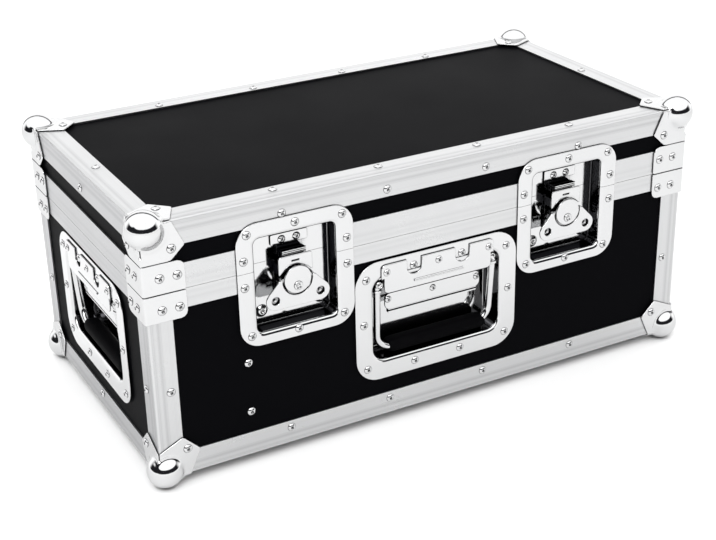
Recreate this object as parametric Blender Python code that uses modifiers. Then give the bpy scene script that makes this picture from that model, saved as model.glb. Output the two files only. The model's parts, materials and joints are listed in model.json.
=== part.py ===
# Accessory road case: laminated panels in aluminium edging, ball corners, two twist latches
# and three recessed handles. Metres, +Z up, origin under the middle of the case on the floor.

import math

import bmesh
import bpy
from mathutils import Matrix, Vector

MM = 0.001

# Case, over the aluminium edging
CASE_LENGTH = 538.4 * MM
CASE_WIDTH = 280.4 * MM
BASE_HEIGHT = 171.0 * MM
LID_HEIGHT = 60.8 * MM
GAP = 0.3 * MM  # between pieces that touch
PANEL = 6.7 * MM

# Edging
EDGE_WALL = 1.5 * MM
EDGE_LEG = 22.0 * MM
EDGE_ROUND = 2.0 * MM
EDGE_ROUND_INNER = 0.7 * MM
BASE_BAND = 16.7 * MM  # closing extrusion seen on the base
LID_BAND = 22.1 * MM
CLOSER_WEB = 5.5 * MM
CLOSER_LEG = 14.0 * MM  # inner leg of a closing extrusion
TONGUE_IN = 5.0 * MM  # tongue and groove, from the outer face
TONGUE_DROP = 3.4 * MM
TONGUE_ROOT = 1.7 * MM
TONGUE_TIP = 0.4 * MM
GROOVE_FIT = 0.5 * MM

# Ball corners and corner braces
BALL_RADIUS = 15.9 * MM
BALL_INSET = 6.5 * MM
PLATE = 1.2 * MM
FLANGE_NEAR = 26.0 * MM
FLANGE_SHORT = 22.0 * MM
FLANGE_LONG = 37.0 * MM
FLANGE_ROUND = 3.5 * MM
FLANGE_TAPER = 2.0 * MM  # the long flange narrows less
BRACE_REACH = 35.0 * MM
BRACE_RISE = 26.0 * MM
BRACE_DROP = 24.0 * MM
BRACE_ROUND = 6.0 * MM
BRACE_LIFT = 0.5 * MM

# Latch dishes, about the middle of the latch and the closing line
LATCH_WIDTH = 107.0 * MM
LATCH_ABOVE = 42.4 * MM
LATCH_BELOW = 68.3 * MM
LATCH_CORNER = 19.0 * MM
LATCH_WELL = 75.0 * MM
LATCH_WELL_ABOVE = 28.0 * MM
LATCH_WELL_BELOW = 57.2 * MM
LATCH_WELL_CORNER = 6.0 * MM
LATCH_DEPTH = 13.1 * MM
LATCH_DRAFT = 1.5 * MM
DISH_SPACE = 0.5 * MM  # between the handle dish and a latch dish

# Latch mechanism, about the hub's pivot
PIVOT_BELOW = 20.6 * MM  # under the closing line
STUD_RADIUS = 2.9 * MM
STUD_HEAD = 4.0 * MM
CAP_RADIUS = 13.3 * MM
CAP_RAISE = 3.5 * MM
CAP_FACE = -3.2 * MM
CAP_THICK = 2.0 * MM
HUB_RADIUS = 10.0 * MM
HUB_BACK = 1.8 * MM
CAM_RADIUS = 6.5 * MM
CAM_THROW = 4.6 * MM
CAM_BACK = 8.8 * MM
BORE_FIT = 0.3 * MM
FLIP_RAISE = 6.0 * MM  # hinge of the wing on the hub
FLIP_IN = -0.6 * MM
FLIP_PIN = 1.2 * MM
EAR_IN = 13.8 * MM
EAR_THICK = 1.4 * MM
EAR_RADIUS = 2.0 * MM
PIN_SPARE = 0.2 * MM  # of the hinge pin past the ears
EAR_FIT = 0.4 * MM  # beside the hub's bar
WING_FACE = -2.4 * MM
WING_THICK = 1.8 * MM
WING_FOOT = 19.4 * MM
WING_SHOULDER = 2.2 * MM  # wider than the ears
LOBE_ACROSS = 20.0 * MM
LOBE_BELOW = 11.0 * MM
LOBE_RADIUS = 8.4 * MM
LOBE_HOLE = 3.3 * MM
WING_SPACE = 1.0 * MM  # round the cap
COVER_FACE = 0.4 * MM
COVER_THICK = 1.4 * MM
COVER_ARC = 17.6 * MM
COVER_HALF = 15.5 * MM
COVER_TOP = 26.6 * MM
COVER_LEG = 1.5 * MM
COVER_CORNER = 2.5 * MM
PLATE_CORNER = 1.5 * MM  # of the back plate and the keeper
HOOK_SWAY = 4.0 * MM  # outward while it rises
HOOK_PLATE = 1.5 * MM
HOOK_HALF = 11.0 * MM
HOOK_TOP = 31.6 * MM
HOOK_FACE = 1.5 * MM
HOOK_TIP_IN = 11.8 * MM
HOOK_TIP = 1.2 * MM
HOOK_TIP_DROP = 4.9 * MM
HOOK_LIP = 4.0 * MM  # ridged face under the hook's top
HOOK_RIDGES = 3
HOOK_RIDGE = 0.5 * MM
HOOK_MARGIN = 3.0 * MM  # under the slot
HOOK_SHOULDER = 4.0 * MM  # over the slot
HOOK_CORNER = 1.8 * MM
HOOK_NECK_IN = 0.4 * MM  # neck narrower than the tip
SLOT_SPARE = 1.3 * MM
KEEPER_TOP = 22.5 * MM  # over the closing line
KEEPER_PLATE = 9.5 * MM
KEEPER_HALF = 17.0 * MM
KEEPER_FOOT = 3.0 * MM
KEEPER_LIP = 1.4 * MM
KEEPER_LIP_IN = 8.2 * MM
KEEPER_LIP_RISE = 4.6 * MM
KEEPER_SPACE = 0.5 * MM  # beside the hook

# Handle dishes, about the middle of the dish
HANDLE_WIDTH = 165.0 * MM
HANDLE_HEIGHT = 114.3 * MM
HANDLE_CORNER = 23.0 * MM
HANDLE_FACE = -0.9 * MM
HANDLE_SHARE = 0.12  # of the spare height, left above the dish
HANDLE_WELL = 130.0 * MM
HANDLE_WELL_TOP = 41.0 * MM
HANDLE_WELL_BOTTOM = 38.9 * MM
HANDLE_WELL_CORNER = 12.0 * MM
HANDLE_DEPTH = 21.0 * MM
HANDLE_DRAFT = 1.0 * MM
HINGE_PLATE_SPACE = 1.0 * MM  # from its end to the middle of the rod
HINGE_PLATE_TOP = 53.0 * MM
HINGE_PLATE_FOOT = 26.0 * MM
HINGE_PLATE_FACE = -2.6 * MM
HINGE_PLATE_THICK = 1.4 * MM
HINGE_NOTCH = 5.5 * MM  # over the bail's pivot
HINGE_PLATE_CORNER = 4.0 * MM
SEAT_MARGIN = 2.0 * MM  # of the hinge plate's seat inside its edge
POCKET_ACROSS = 24.5 * MM
POCKET_RADIUS = 7.5 * MM
STOP_SPACE = 9.0 * MM  # from its end to the middle of the rod
STOP_TOP = 21.0 * MM
STOP_FOOT = 5.5 * MM
STOP_IN = 7.6 * MM
STOP_CORNER = 6.0 * MM
STOP_RETURN = 8.0 * MM  # the web back to the well is shorter at each end
STOP_STEP = 0.2 * MM

# Bail and grip
ROD_RADIUS = 3.2 * MM
BAIL_SPACE = 7.0 * MM  # from the middle of the rod to the wall of the well
BAIL_PIVOT_UP = 34.5 * MM
BAIL_PIVOT_IN = 3.0 * MM
BAIL_DROP = 65.5 * MM
BAIL_LEAN = 5.0 * MM
BAIL_CORNER = 15.0 * MM
BAIL_BEND = 5.0 * MM
CURL_WALL = 1.2 * MM
CURL_LENGTH = 5.0 * MM
GRIP_SPACE = 9.0 * MM  # from the grip's end to the middle of the rod
GRIP_NOTCH = 6.3 * MM  # the grip is shorter below, where the rod bends
GRIP_ABOVE = 21.5 * MM
GRIP_BELOW = 6.3 * MM
GRIP_OUT = 8.0 * MM
GRIP_IN = 10.5 * MM
GRIP_SHOULDER = 1.5 * MM  # over the rod, where the grip widens
GRIP_FLARE = 5.0 * MM
GRIP_CORNER = 2.0 * MM
GRIP_BACK = 4.0 * MM  # larger corners of the section
GRIP_FRONT = 3.0 * MM

# Butt hinges at the back
HINGE_SPREAD = 150.0 * MM
HINGE_LENGTH = 64.0 * MM
HINGE_LEAF = 16.0 * MM
HINGE_BARREL = 3.0 * MM
HINGE_PIN = 1.5 * MM
HINGE_OUT = 4.0 * MM
KNUCKLES = 5
HINGE_CORNER = 1.0 * MM

# Divider
DIVIDER_FROM_LEFT = 76.0 * MM
DIVIDER_SHEET = 2.0 * MM
DIVIDER_HEIGHT = 96.0 * MM
DIVIDER_FLANGE = 20.0 * MM

# Planes of the case
LEFT = -CASE_LENGTH / 2
RIGHT = CASE_LENGTH / 2
FRONT = -CASE_WIDTH / 2
BACK = CASE_WIDTH / 2
BOTTOM = BALL_RADIUS - BALL_INSET
PARTING = BOTTOM + BASE_HEIGHT
TOP = PARTING + LID_HEIGHT
PANEL_OUT = EDGE_WALL + GAP
PANEL_IN = PANEL_OUT + PANEL
LATCH_OFFSET = HANDLE_WIDTH / 2 + DISH_SPACE + LATCH_WIDTH / 2
HANDLE_SPARE = BASE_HEIGHT - BASE_BAND - EDGE_LEG - HANDLE_HEIGHT
HANDLE_MIDDLE = PARTING - BASE_BAND - HANDLE_SHARE * HANDLE_SPARE - HANDLE_HEIGHT / 2
BAIL_HALF = HANDLE_WELL / 2 - BAIL_SPACE
HINGE_PLATE_HALF = BAIL_HALF - HINGE_PLATE_SPACE
STOP_HALF = BAIL_HALF - STOP_SPACE
GRIP_END = BAIL_HALF - GRIP_SPACE
GRIP_NECK = GRIP_END - GRIP_NOTCH

# Looks: colour, roughness, metallic
LAMINATE = ((0.012, 0.012, 0.013), 0.45, 0.0)
ALUMINIUM = ((0.78, 0.79, 0.80), 0.38, 1.0)
STEEL = ((0.72, 0.73, 0.75), 0.16, 1.0)
RUBBER = ((0.015, 0.015, 0.016), 0.7, 0.0)

CORNERS = ("front_left", "front_right", "back_right", "back_left")
WELD = 0.002 * MM
CAP_SIDES = 30
ROUND_SIDES = 22
SMALL_SIDES = 12
BALL_SIDES = 20
DISH_STEPS = 5

# Directions of an outline: its matrix, and the axis that its thickness runs along
PLAN = (Matrix.Identity(4), 2)
FACE = (Matrix.Rotation(math.pi / 2, 4, "X"), 1)
SIDE = (Matrix(((0, 0, 1, 0), (1, 0, 0, 0), (0, 1, 0, 0), (0, 0, 0, 1))), 0)


def collection(name):
    group = bpy.data.collections.new(name)
    bpy.context.scene.collection.children.link(group)
    return group


for item in list(bpy.data.objects):
    bpy.data.objects.remove(item)
CASE = collection("accessory_flight_case")
CUTTERS = collection("cutters")


def as_object(mesh, name="shape"):
    shape = bpy.data.objects.new(name, mesh)
    CUTTERS.objects.link(shape)
    shape.hide_render = True
    shape.display_type = "WIRE"
    return shape


# Primitives take their points from a grid of a tenth of a micrometre, so that faces that are
# meant to be flush lie in one plane
def from_bmesh(bm):
    for vertex in bm.verts:
        vertex.co = [round(value, 7) for value in vertex.co]
    mesh = bpy.data.meshes.new("shape")
    bm.to_mesh(mesh)
    bm.free()
    return as_object(mesh)


def box(low, high):
    size = Vector(high) - Vector(low)
    middle = (Vector(high) + Vector(low)) / 2
    bm = bmesh.new()
    matrix = Matrix.Translation(middle) @ Matrix.Diagonal((*size, 1))
    bmesh.ops.create_cube(bm, size=1, matrix=matrix)
    return from_bmesh(bm)


def cylinder(start, end, radius, sides=ROUND_SIDES):
    run = Vector(end) - Vector(start)
    turn = Vector((0, 0, 1)).rotation_difference(run).to_matrix().to_4x4()
    matrix = Matrix.Translation((Vector(start) + Vector(end)) / 2) @ turn
    bm = bmesh.new()
    bmesh.ops.create_cone(
        bm, cap_ends=True, segments=sides, radius1=radius, radius2=radius,
        depth=run.length, matrix=matrix,
    )
    return from_bmesh(bm)


def ball(middle, radius):
    bm = bmesh.new()
    matrix = Matrix.Translation(middle)
    bmesh.ops.create_uvsphere(
        bm, u_segments=BALL_SIDES, v_segments=BALL_SIDES // 2, radius=radius, matrix=matrix
    )
    return from_bmesh(bm)


# The finished form of a shape, as a plain mesh in place of the shape
def settled(shape, primitive=False):
    bpy.context.view_layer.update()
    graph = bpy.context.evaluated_depsgraph_get()
    mesh = bpy.data.meshes.new_from_object(shape.evaluated_get(graph), depsgraph=graph)
    mesh.transform(shape.matrix_world)
    bpy.data.objects.remove(shape)
    if not primitive:
        return as_object(mesh)
    bm = bmesh.new()
    bm.from_mesh(mesh)
    bmesh.ops.remove_doubles(bm, verts=bm.verts, dist=WELD)
    bmesh.ops.recalc_face_normals(bm, faces=bm.faces)
    return from_bmesh(bm)


def combined(target, operation, *tools):
    for tool in tools:
        modifier = target.modifiers.new(operation.lower(), "BOOLEAN")
        modifier.operation = operation
        modifier.solver = "EXACT"
        modifier.object = tool
    result = settled(target)
    for tool in tools:
        bpy.data.objects.remove(tool)
    return result


def joined(target, *tools):
    return combined(target, "UNION", *tools)


def cut(target, *tools):
    return combined(target, "DIFFERENCE", *tools)


def common(target, *tools):
    return combined(target, "INTERSECT", *tools)


# A path or outline with arcs in place of its corner points
def rounded(corners, radius, steps=3, closed=True):
    radii = radius if isinstance(radius, (list, tuple)) else [radius] * len(corners)
    points = []
    for index, (corner, arc) in enumerate(zip(corners, radii)):
        here = Vector(corner)
        at_end = not closed and index in (0, len(corners) - 1)
        if arc <= 0 or at_end:
            points.append(here)
            continue
        back = (Vector(corners[index - 1]) - here).normalized()
        onward = (Vector(corners[(index + 1) % len(corners)]) - here).normalized()
        half = back.angle(onward) / 2
        middle = here + (back + onward).normalized() * arc / math.sin(half)
        start = (here + back * arc / math.tan(half) - middle).normalized()
        end = (here + onward * arc / math.tan(half) - middle).normalized()
        for step in range(steps + 1):
            points.append(middle + start.slerp(end, step / steps).normalized() * arc)
    return points


def rectangle(left, right, low, high, radius=0.0, steps=3):
    return rounded([(left, low), (right, low), (right, high), (left, high)], radius, steps)


# A flat outline given thickness from low to high along the axis that it faces
def extruded(outline, low, high, facing, holes=()):
    matrix, axis = facing
    curve = bpy.data.curves.new("outline", "CURVE")
    curve.dimensions = "2D"
    curve.fill_mode = "BOTH"
    curve.extrude = (high - low) / 2
    for points in (outline, *holes):
        spline = curve.splines.new("POLY")
        spline.points.add(len(points) - 1)
        for point, place in zip(spline.points, points):
            point.co = (place[0], place[1], 0, 1)
        spline.use_cyclic_u = True
    shift = Vector((0, 0, 0))
    shift[axis] = (low + high) / 2
    shape = as_object(curve)
    shape.matrix_world = Matrix.Translation(shift) @ matrix
    return settled(shape, primitive=True)


# A block whose outline draws in by draft on its way from the front to the back
def tapered(outline, front, back, draft):
    shape = extruded(outline, front, back, FACE)
    across = [point.co.x for point in shape.data.vertices]
    up = [point.co.z for point in shape.data.vertices]
    middle = Vector(((min(across) + max(across)) / 2, 0, (min(up) + max(up)) / 2))
    shrink_x = 1 - 2 * draft / (max(across) - min(across))
    shrink_z = 1 - 2 * draft / (max(up) - min(up))
    for vertex in shape.data.vertices:
        if vertex.co.y > (front + back) / 2:
            vertex.co.x = middle.x + (vertex.co.x - middle.x) * shrink_x
            vertex.co.z = middle.z + (vertex.co.z - middle.z) * shrink_z
    return shape


# A profile of (inward, height) points carried round the case with mitred corners:
# a square ring turned in four steps, whose corners then move out to the case's corners
def mitred_frame(profile):
    reach = 2 * max(inward for inward, height in profile)
    points = [(math.sqrt(2) * (reach - inward), 0, height) for inward, height in profile]
    edges = [(index, (index + 1) % len(points)) for index in range(len(points))]
    mesh = bpy.data.meshes.new("profile")
    mesh.from_pydata(points, edges, [])
    shape = as_object(mesh)
    screw = shape.modifiers.new("corners", "SCREW")
    screw.steps = 4
    screw.render_steps = 4
    screw.use_merge_vertices = True
    screw.merge_threshold = 0.00001
    shape.matrix_world = Matrix.Rotation(math.pi / 4, 4, "Z")
    shape = settled(shape, primitive=True)
    for vertex in shape.data.vertices:
        vertex.co.x += math.copysign(CASE_LENGTH / 2 - reach, vertex.co.x)
        vertex.co.y += math.copysign(CASE_WIDTH / 2 - reach, vertex.co.y)
    return shape


def anchor(name, location, turn=0.0, parent=None):
    empty = bpy.data.objects.new(name, None)
    CASE.objects.link(empty)
    empty.empty_display_size = 10 * MM
    empty.location = location
    empty.rotation_euler = (0, 0, turn)
    empty.parent = parent
    return empty


def material(name, look):
    colour, roughness, metallic = look
    finish = bpy.data.materials.new(name)
    finish.use_nodes = True
    shader = finish.node_tree.nodes["Principled BSDF"]
    shader.inputs["Base Color"].default_value = (*colour, 1)
    shader.inputs["Roughness"].default_value = roughness
    shader.inputs["Metallic"].default_value = metallic
    finish.diffuse_color = (*colour, 1)
    return finish


# A shape as a piece of the case. The mesh may be shared by several pieces.
def piece(name, mesh, look, parent=None, location=(0, 0, 0), turn=0.0):
    part = bpy.data.objects.new(name, mesh)
    CASE.objects.link(part)
    part.parent = parent
    part.location = location
    part.rotation_euler = (0, 0, turn)
    if not mesh.materials:
        mesh.materials.append(None)
    part.material_slots[0].link = "OBJECT"
    part.material_slots[0].material = material(name, look)
    return part


# The mesh of a finished shape, with its round faces shaded smooth
def mesh_of(shape, name):
    mesh = shape.data
    mesh.name = name
    mesh.materials.clear()
    mesh.shade_smooth()
    mesh.set_sharp_from_angle(angle=math.radians(35))
    bpy.data.objects.remove(shape)
    return mesh


def single(name, shape, look, parent=None):
    return piece(name, mesh_of(shape, name), look, parent)


# A board whose origin is its middle
def board(name, low, high):
    middle = (Vector(low) + Vector(high)) / 2
    shape = box(Vector(low) - middle, Vector(high) - middle)
    return piece(name, mesh_of(shape, name), LAMINATE, location=middle)


def open_up(part, cutters):
    for cutter in cutters:
        modifier = part.modifiers.new(cutter.name, "BOOLEAN")
        modifier.operation = "DIFFERENCE"
        modifier.solver = "EXACT"
        modifier.object = cutter


# Cutters for the openings in the panels, one for each dish
def well_cutter(name, well, depth, anchor_object):
    left, right, low, high, corner = well
    grow = PLATE + GAP
    outline = rectangle(left - grow, right + grow, low - grow, high + grow, corner + grow)
    cutter = extruded(outline, -2 * PLATE, depth + 4 * PLATE, FACE)
    cutter.name = name
    cutter.parent = anchor_object
    return cutter


def latch_well():
    half = LATCH_WELL / 2
    return (-half, half, -LATCH_WELL_BELOW, LATCH_WELL_ABOVE, LATCH_WELL_CORNER)


def handle_well():
    half = HANDLE_WELL / 2
    return (-half, half, -HANDLE_WELL_BOTTOM, HANDLE_WELL_TOP, HANDLE_WELL_CORNER)


def base_panels(latch_cutters, handle_cutters):
    floor_top = BOTTOM + PANEL_IN
    wall_top = PARTING - CLOSER_WEB - GAP
    board(
        "floor_panel",
        (LEFT + PANEL_OUT, FRONT + PANEL_OUT, BOTTOM + PANEL_OUT),
        (RIGHT - PANEL_OUT, BACK - PANEL_OUT, floor_top),
    )
    front = board(
        "front_wall",
        (LEFT + PANEL_OUT, FRONT + PANEL_OUT, floor_top + GAP),
        (RIGHT - PANEL_OUT, FRONT + PANEL_IN, wall_top),
    )
    board(
        "back_wall",
        (LEFT + PANEL_OUT, BACK - PANEL_IN, floor_top + GAP),
        (RIGHT - PANEL_OUT, BACK - PANEL_OUT, wall_top),
    )
    left = board(
        "left_wall",
        (LEFT + PANEL_OUT, FRONT + PANEL_IN + GAP, floor_top + GAP),
        (LEFT + PANEL_IN, BACK - PANEL_IN - GAP, wall_top),
    )
    right = board(
        "right_wall",
        (RIGHT - PANEL_IN, FRONT + PANEL_IN + GAP, floor_top + GAP),
        (RIGHT - PANEL_OUT, BACK - PANEL_IN - GAP, wall_top),
    )
    open_up(front, [handle_cutters["front"], *latch_cutters])
    open_up(left, [handle_cutters["left"]])
    open_up(right, [handle_cutters["right"]])


def lid_panels(latch_cutters):
    board(
        "lid_top_panel",
        (LEFT + PANEL_OUT, FRONT + PANEL_OUT, TOP - PANEL_IN),
        (RIGHT - PANEL_OUT, BACK - PANEL_OUT, TOP - PANEL_OUT),
    )
    ring = extruded(
        rectangle(LEFT + PANEL_OUT, RIGHT - PANEL_OUT, FRONT + PANEL_OUT, BACK - PANEL_OUT),
        PARTING + CLOSER_WEB + 2 * GAP,
        TOP - PANEL_IN - GAP,
        PLAN,
        [rectangle(LEFT + PANEL_IN, RIGHT - PANEL_IN, FRONT + PANEL_IN, BACK - PANEL_IN)],
    )
    walls = single("lid_walls", ring, LAMINATE)
    open_up(walls, latch_cutters)


# Angle edging with a rounded outer corner; sign is 1 at the bottom of the case, -1 at its top
def angle_profile(level, sign):
    corners = [
        (0, EDGE_LEG), (0, 0), (EDGE_LEG, 0),
        (EDGE_LEG, EDGE_WALL), (EDGE_WALL, EDGE_WALL), (EDGE_WALL, EDGE_LEG),
    ]
    radii = [0, EDGE_ROUND, 0, 0, EDGE_ROUND_INNER, 0]
    points = rounded(corners, radii, 4)
    return [(inward, level + sign * height) for inward, height in points]


def angle_frames():
    single("bottom_edging", mitred_frame(angle_profile(BOTTOM, 1)), ALUMINIUM)
    single("lid_top_edging", mitred_frame(angle_profile(TOP, -1)), ALUMINIUM)


def upright_edges():
    corners = [
        (0, 0), (EDGE_LEG, 0), (EDGE_LEG, EDGE_WALL),
        (EDGE_WALL, EDGE_WALL), (EDGE_WALL, EDGE_LEG), (0, EDGE_LEG),
    ]
    outline = rounded(corners, [EDGE_ROUND, 0, 0, EDGE_ROUND_INNER, 0, 0], 4)
    low = BOTTOM + EDGE_LEG + GAP
    high = PARTING - BASE_BAND - GAP
    return extruded(outline, low, high, PLAN)


# Grooved closing extrusion of the base, and the tongued one of the lid that closes into it
def base_closer_profile():
    leg_in = PANEL_IN + GAP
    groove_foot = TONGUE_DROP + GROOVE_FIT
    top_half = TONGUE_ROOT + GROOVE_FIT + GAP / 3
    foot_half = TONGUE_TIP + GROOVE_FIT
    points = [
        (0, 0), (0, -BASE_BAND), (EDGE_WALL, -BASE_BAND), (EDGE_WALL, -CLOSER_WEB),
        (leg_in, -CLOSER_WEB), (leg_in, -CLOSER_LEG), (leg_in + EDGE_WALL, -CLOSER_LEG),
        (leg_in + EDGE_WALL, 0), (TONGUE_IN + top_half, 0), (TONGUE_IN + foot_half, -groove_foot),
        (TONGUE_IN - foot_half, -groove_foot), (TONGUE_IN - top_half, 0),
    ]
    return [(inward, PARTING + height) for inward, height in points]


def lid_closer_profile():
    leg_in = PANEL_IN + GAP
    points = [
        (0, LID_BAND), (0, 0), (TONGUE_IN - TONGUE_ROOT, 0), (TONGUE_IN - TONGUE_TIP, -TONGUE_DROP),
        (TONGUE_IN + TONGUE_TIP, -TONGUE_DROP), (TONGUE_IN + TONGUE_ROOT, 0),
        (leg_in + EDGE_WALL, 0), (leg_in + EDGE_WALL, CLOSER_LEG), (leg_in, CLOSER_LEG),
        (leg_in, CLOSER_WEB), (EDGE_WALL, CLOSER_WEB), (EDGE_WALL, LID_BAND),
    ]
    return [(inward, PARTING + GAP + height) for inward, height in points]


# The latch dishes part the front run, so its middle length is a piece of its own
def closer(name, profile):
    half_well = LATCH_WELL / 2 + PLATE + GAP
    outer = LATCH_OFFSET + half_well
    inner = LATCH_OFFSET - half_well
    deep = FRONT + LATCH_DEPTH + 2 * PLATE
    proud = FRONT - PLATE
    run_out = box((-outer, proud, BOTTOM), (outer, deep, TOP))
    single(name, cut(mitred_frame(profile), run_out), ALUMINIUM)
    middle = box((-inner, proud, BOTTOM), (inner, deep, TOP))
    single(name + "_front", common(mitred_frame(profile), middle), ALUMINIUM)


def corner_places():
    for index, name in enumerate(CORNERS):
        across = LEFT if "left" in name else RIGHT
        along = FRONT if "front" in name else BACK
        yield name, across, along, index * math.pi / 2


# A pressed corner: the ball stands out of three flanges that lie on the edging.
# The faces of the case are at zero here, and its inside is on the positive side of each.
def ball_corner(side_flange, mirrored=False):
    face = -GAP - PLATE
    cap_flange = flange(FLANGE_NEAR)
    shape = ball((BALL_INSET, BALL_INSET, BALL_INSET), BALL_RADIUS)
    shape = joined(
        shape,
        extruded(side_flange, face, PLATE, FACE),
        extruded(side_flange, face, PLATE, SIDE),
        extruded(cap_flange, face, PLATE, PLAN),
    )
    far = 3 * FLANGE_LONG
    shape = cut(shape, box((-GAP, -GAP, -GAP), (far, far, far)))
    if mirrored:
        shape.data.transform(Matrix.Diagonal((1, 1, -1, 1)))
        shape.data.flip_normals()
    return shape


# One flange's outline; drop is how far it runs along the upright edge
def flange(drop):
    face = -GAP - PLATE
    if drop > FLANGE_NEAR:
        corners = [
            (face, face), (FLANGE_NEAR, face), (FLANGE_LONG, FLANGE_SHORT),
            (FLANGE_SHORT + FLANGE_TAPER, drop), (face, drop),
        ]
        return rounded(corners, [0, 0, FLANGE_ROUND, FLANGE_ROUND, 0])
    corners = [
        (face, face), (FLANGE_NEAR, face), (FLANGE_LONG, FLANGE_SHORT),
        (FLANGE_SHORT, FLANGE_LONG), (face, FLANGE_NEAR),
    ]
    return rounded(corners, [0, 0, FLANGE_ROUND, FLANGE_ROUND, 0])


def ball_corners():
    base_mesh = mesh_of(ball_corner(flange(FLANGE_NEAR)), "base_ball_corner")
    lid_drop = LID_HEIGHT - BRACE_LIFT - BRACE_RISE - GAP
    lid_mesh = mesh_of(ball_corner(flange(lid_drop), mirrored=True), "lid_ball_corner")
    for name, across, along, turn in corner_places():
        piece("base_corner_" + name, base_mesh, STEEL, None, (across, along, BOTTOM), turn)
        piece("lid_corner_" + name, lid_mesh, STEEL, None, (across, along, TOP), turn)


# A right-angled brace over an upright corner, from the closing line away from it
def brace(height):
    face = -GAP - EDGE_WALL
    plan = rounded(
        [
            (face, face), (BRACE_REACH, face), (BRACE_REACH, -GAP),
            (-GAP, -GAP), (-GAP, BRACE_REACH), (face, BRACE_REACH),
        ],
        [1.5 * EDGE_WALL, 0, 0, 0, 0, 0],
    )
    clear = 2 * face
    view = rounded(
        [(clear, 0), (BRACE_REACH, 0), (BRACE_REACH, height), (clear, height)],
        [0, EDGE_WALL, BRACE_ROUND, 0],
    )
    far = 2 * BRACE_REACH
    over = BRACE_LIFT
    return common(
        extruded(plan, -over, height + over, PLAN),
        extruded(view, clear, far, FACE),
        extruded(view, clear, far, SIDE),
    )


def braces():
    lid_mesh = mesh_of(brace(BRACE_RISE), "lid_brace")
    lower = brace(BRACE_DROP)
    lower.data.transform(Matrix.Diagonal((1, 1, -1, 1)))
    lower.data.flip_normals()
    base_mesh = mesh_of(lower, "base_brace")
    for name, across, along, turn in corner_places():
        high = (across, along, PARTING + BRACE_LIFT)
        low = (across, along, PARTING - GAP)
        piece("lid_brace_" + name, lid_mesh, STEEL, None, high, turn)
        piece("base_brace_" + name, base_mesh, STEEL, None, low, turn)


# A pressed dish: a flange with a turned-down rim, and a well through the panel
def dish(flange_box, well, face, depth, draft, rim_gaps=()):
    left, right, low, high, corner = flange_box
    outline = rectangle(left, right, low, high, corner, DISH_STEPS)
    inner = rectangle(
        left + PLATE, right - PLATE, low + PLATE, high - PLATE, corner - PLATE, DISH_STEPS
    )
    wide = 2 * (right - left)
    under = face + PLATE
    beyond = 10 * PLATE
    gaps = [box((-wide, under, foot), (wide, beyond, head)) for foot, head in rim_gaps]
    pan = cut(
        extruded(outline, face, EDGE_WALL, FACE), extruded(inner, under, beyond, FACE), *gaps
    )
    left, right, low, high, corner = well
    outer = rectangle(left - PLATE, right + PLATE, low - PLATE, high + PLATE, corner + PLATE)
    hollow = tapered(rectangle(left, right, low, high, corner), face - PLATE, depth, draft)
    shape = joined(pan, tapered(outer, face + PLATE / 2, depth + PLATE, draft))
    return cut(shape, hollow)


def latch_dish():
    half = LATCH_WIDTH / 2
    size = (-half, half, -LATCH_BELOW, LATCH_ABOVE, LATCH_CORNER)
    bands = (-BASE_BAND - GAP, LID_BAND + 2 * GAP)
    top_edging = (LID_HEIGHT - EDGE_LEG - GAP, LID_HEIGHT)
    face = -GAP - PLATE
    return dish(size, latch_well(), face, LATCH_DEPTH, LATCH_DRAFT, (bands, top_edging))


def far_box(low, high):
    return box((-LATCH_WIDTH, -LATCH_WIDTH, low), (LATCH_WIDTH, LATCH_WIDTH, high))


# The keeper is riveted in the upper dish: a plate, a strip down the back and a trough with a lip
def keeper():
    plate_in = LATCH_DEPTH - EDGE_WALL
    buried = LATCH_DEPTH + PLATE / 2
    plate_foot = KEEPER_TOP - KEEPER_PLATE
    lip_out = KEEPER_LIP_IN
    trough = HOOK_HALF + KEEPER_SPACE
    strip_in = HOOK_TIP_IN + 1.5 * GAP
    plate = extruded(
        rectangle(-KEEPER_HALF, KEEPER_HALF, plate_foot, KEEPER_TOP, PLATE_CORNER),
        plate_in, buried, FACE,
    )
    foot = KEEPER_FOOT
    profile = [
        (buried, KEEPER_TOP - MM), (strip_in, KEEPER_TOP - MM), (strip_in, foot + EDGE_WALL),
        (lip_out + KEEPER_LIP, foot + EDGE_WALL), (lip_out + KEEPER_LIP, foot + KEEPER_LIP_RISE),
        (lip_out, foot + KEEPER_LIP_RISE), (lip_out, foot), (buried, foot),
    ]
    return joined(plate, extruded(profile, -trough, trough, SIDE))


def latch_dishes(latches):
    lower = cut(latch_dish(), far_box(0, LATCH_WIDTH))
    upper = cut(latch_dish(), far_box(-LATCH_WIDTH, GAP))
    upper = joined(upper, keeper())
    lower_mesh = mesh_of(lower, "latch_dish_lower")
    upper_mesh = mesh_of(upper, "latch_dish_upper")
    for side, holder in latches.items():
        piece(side + "_latch_dish_lower", lower_mesh, STEEL, holder)
        piece(side + "_latch_dish_upper", upper_mesh, STEEL, holder)


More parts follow.
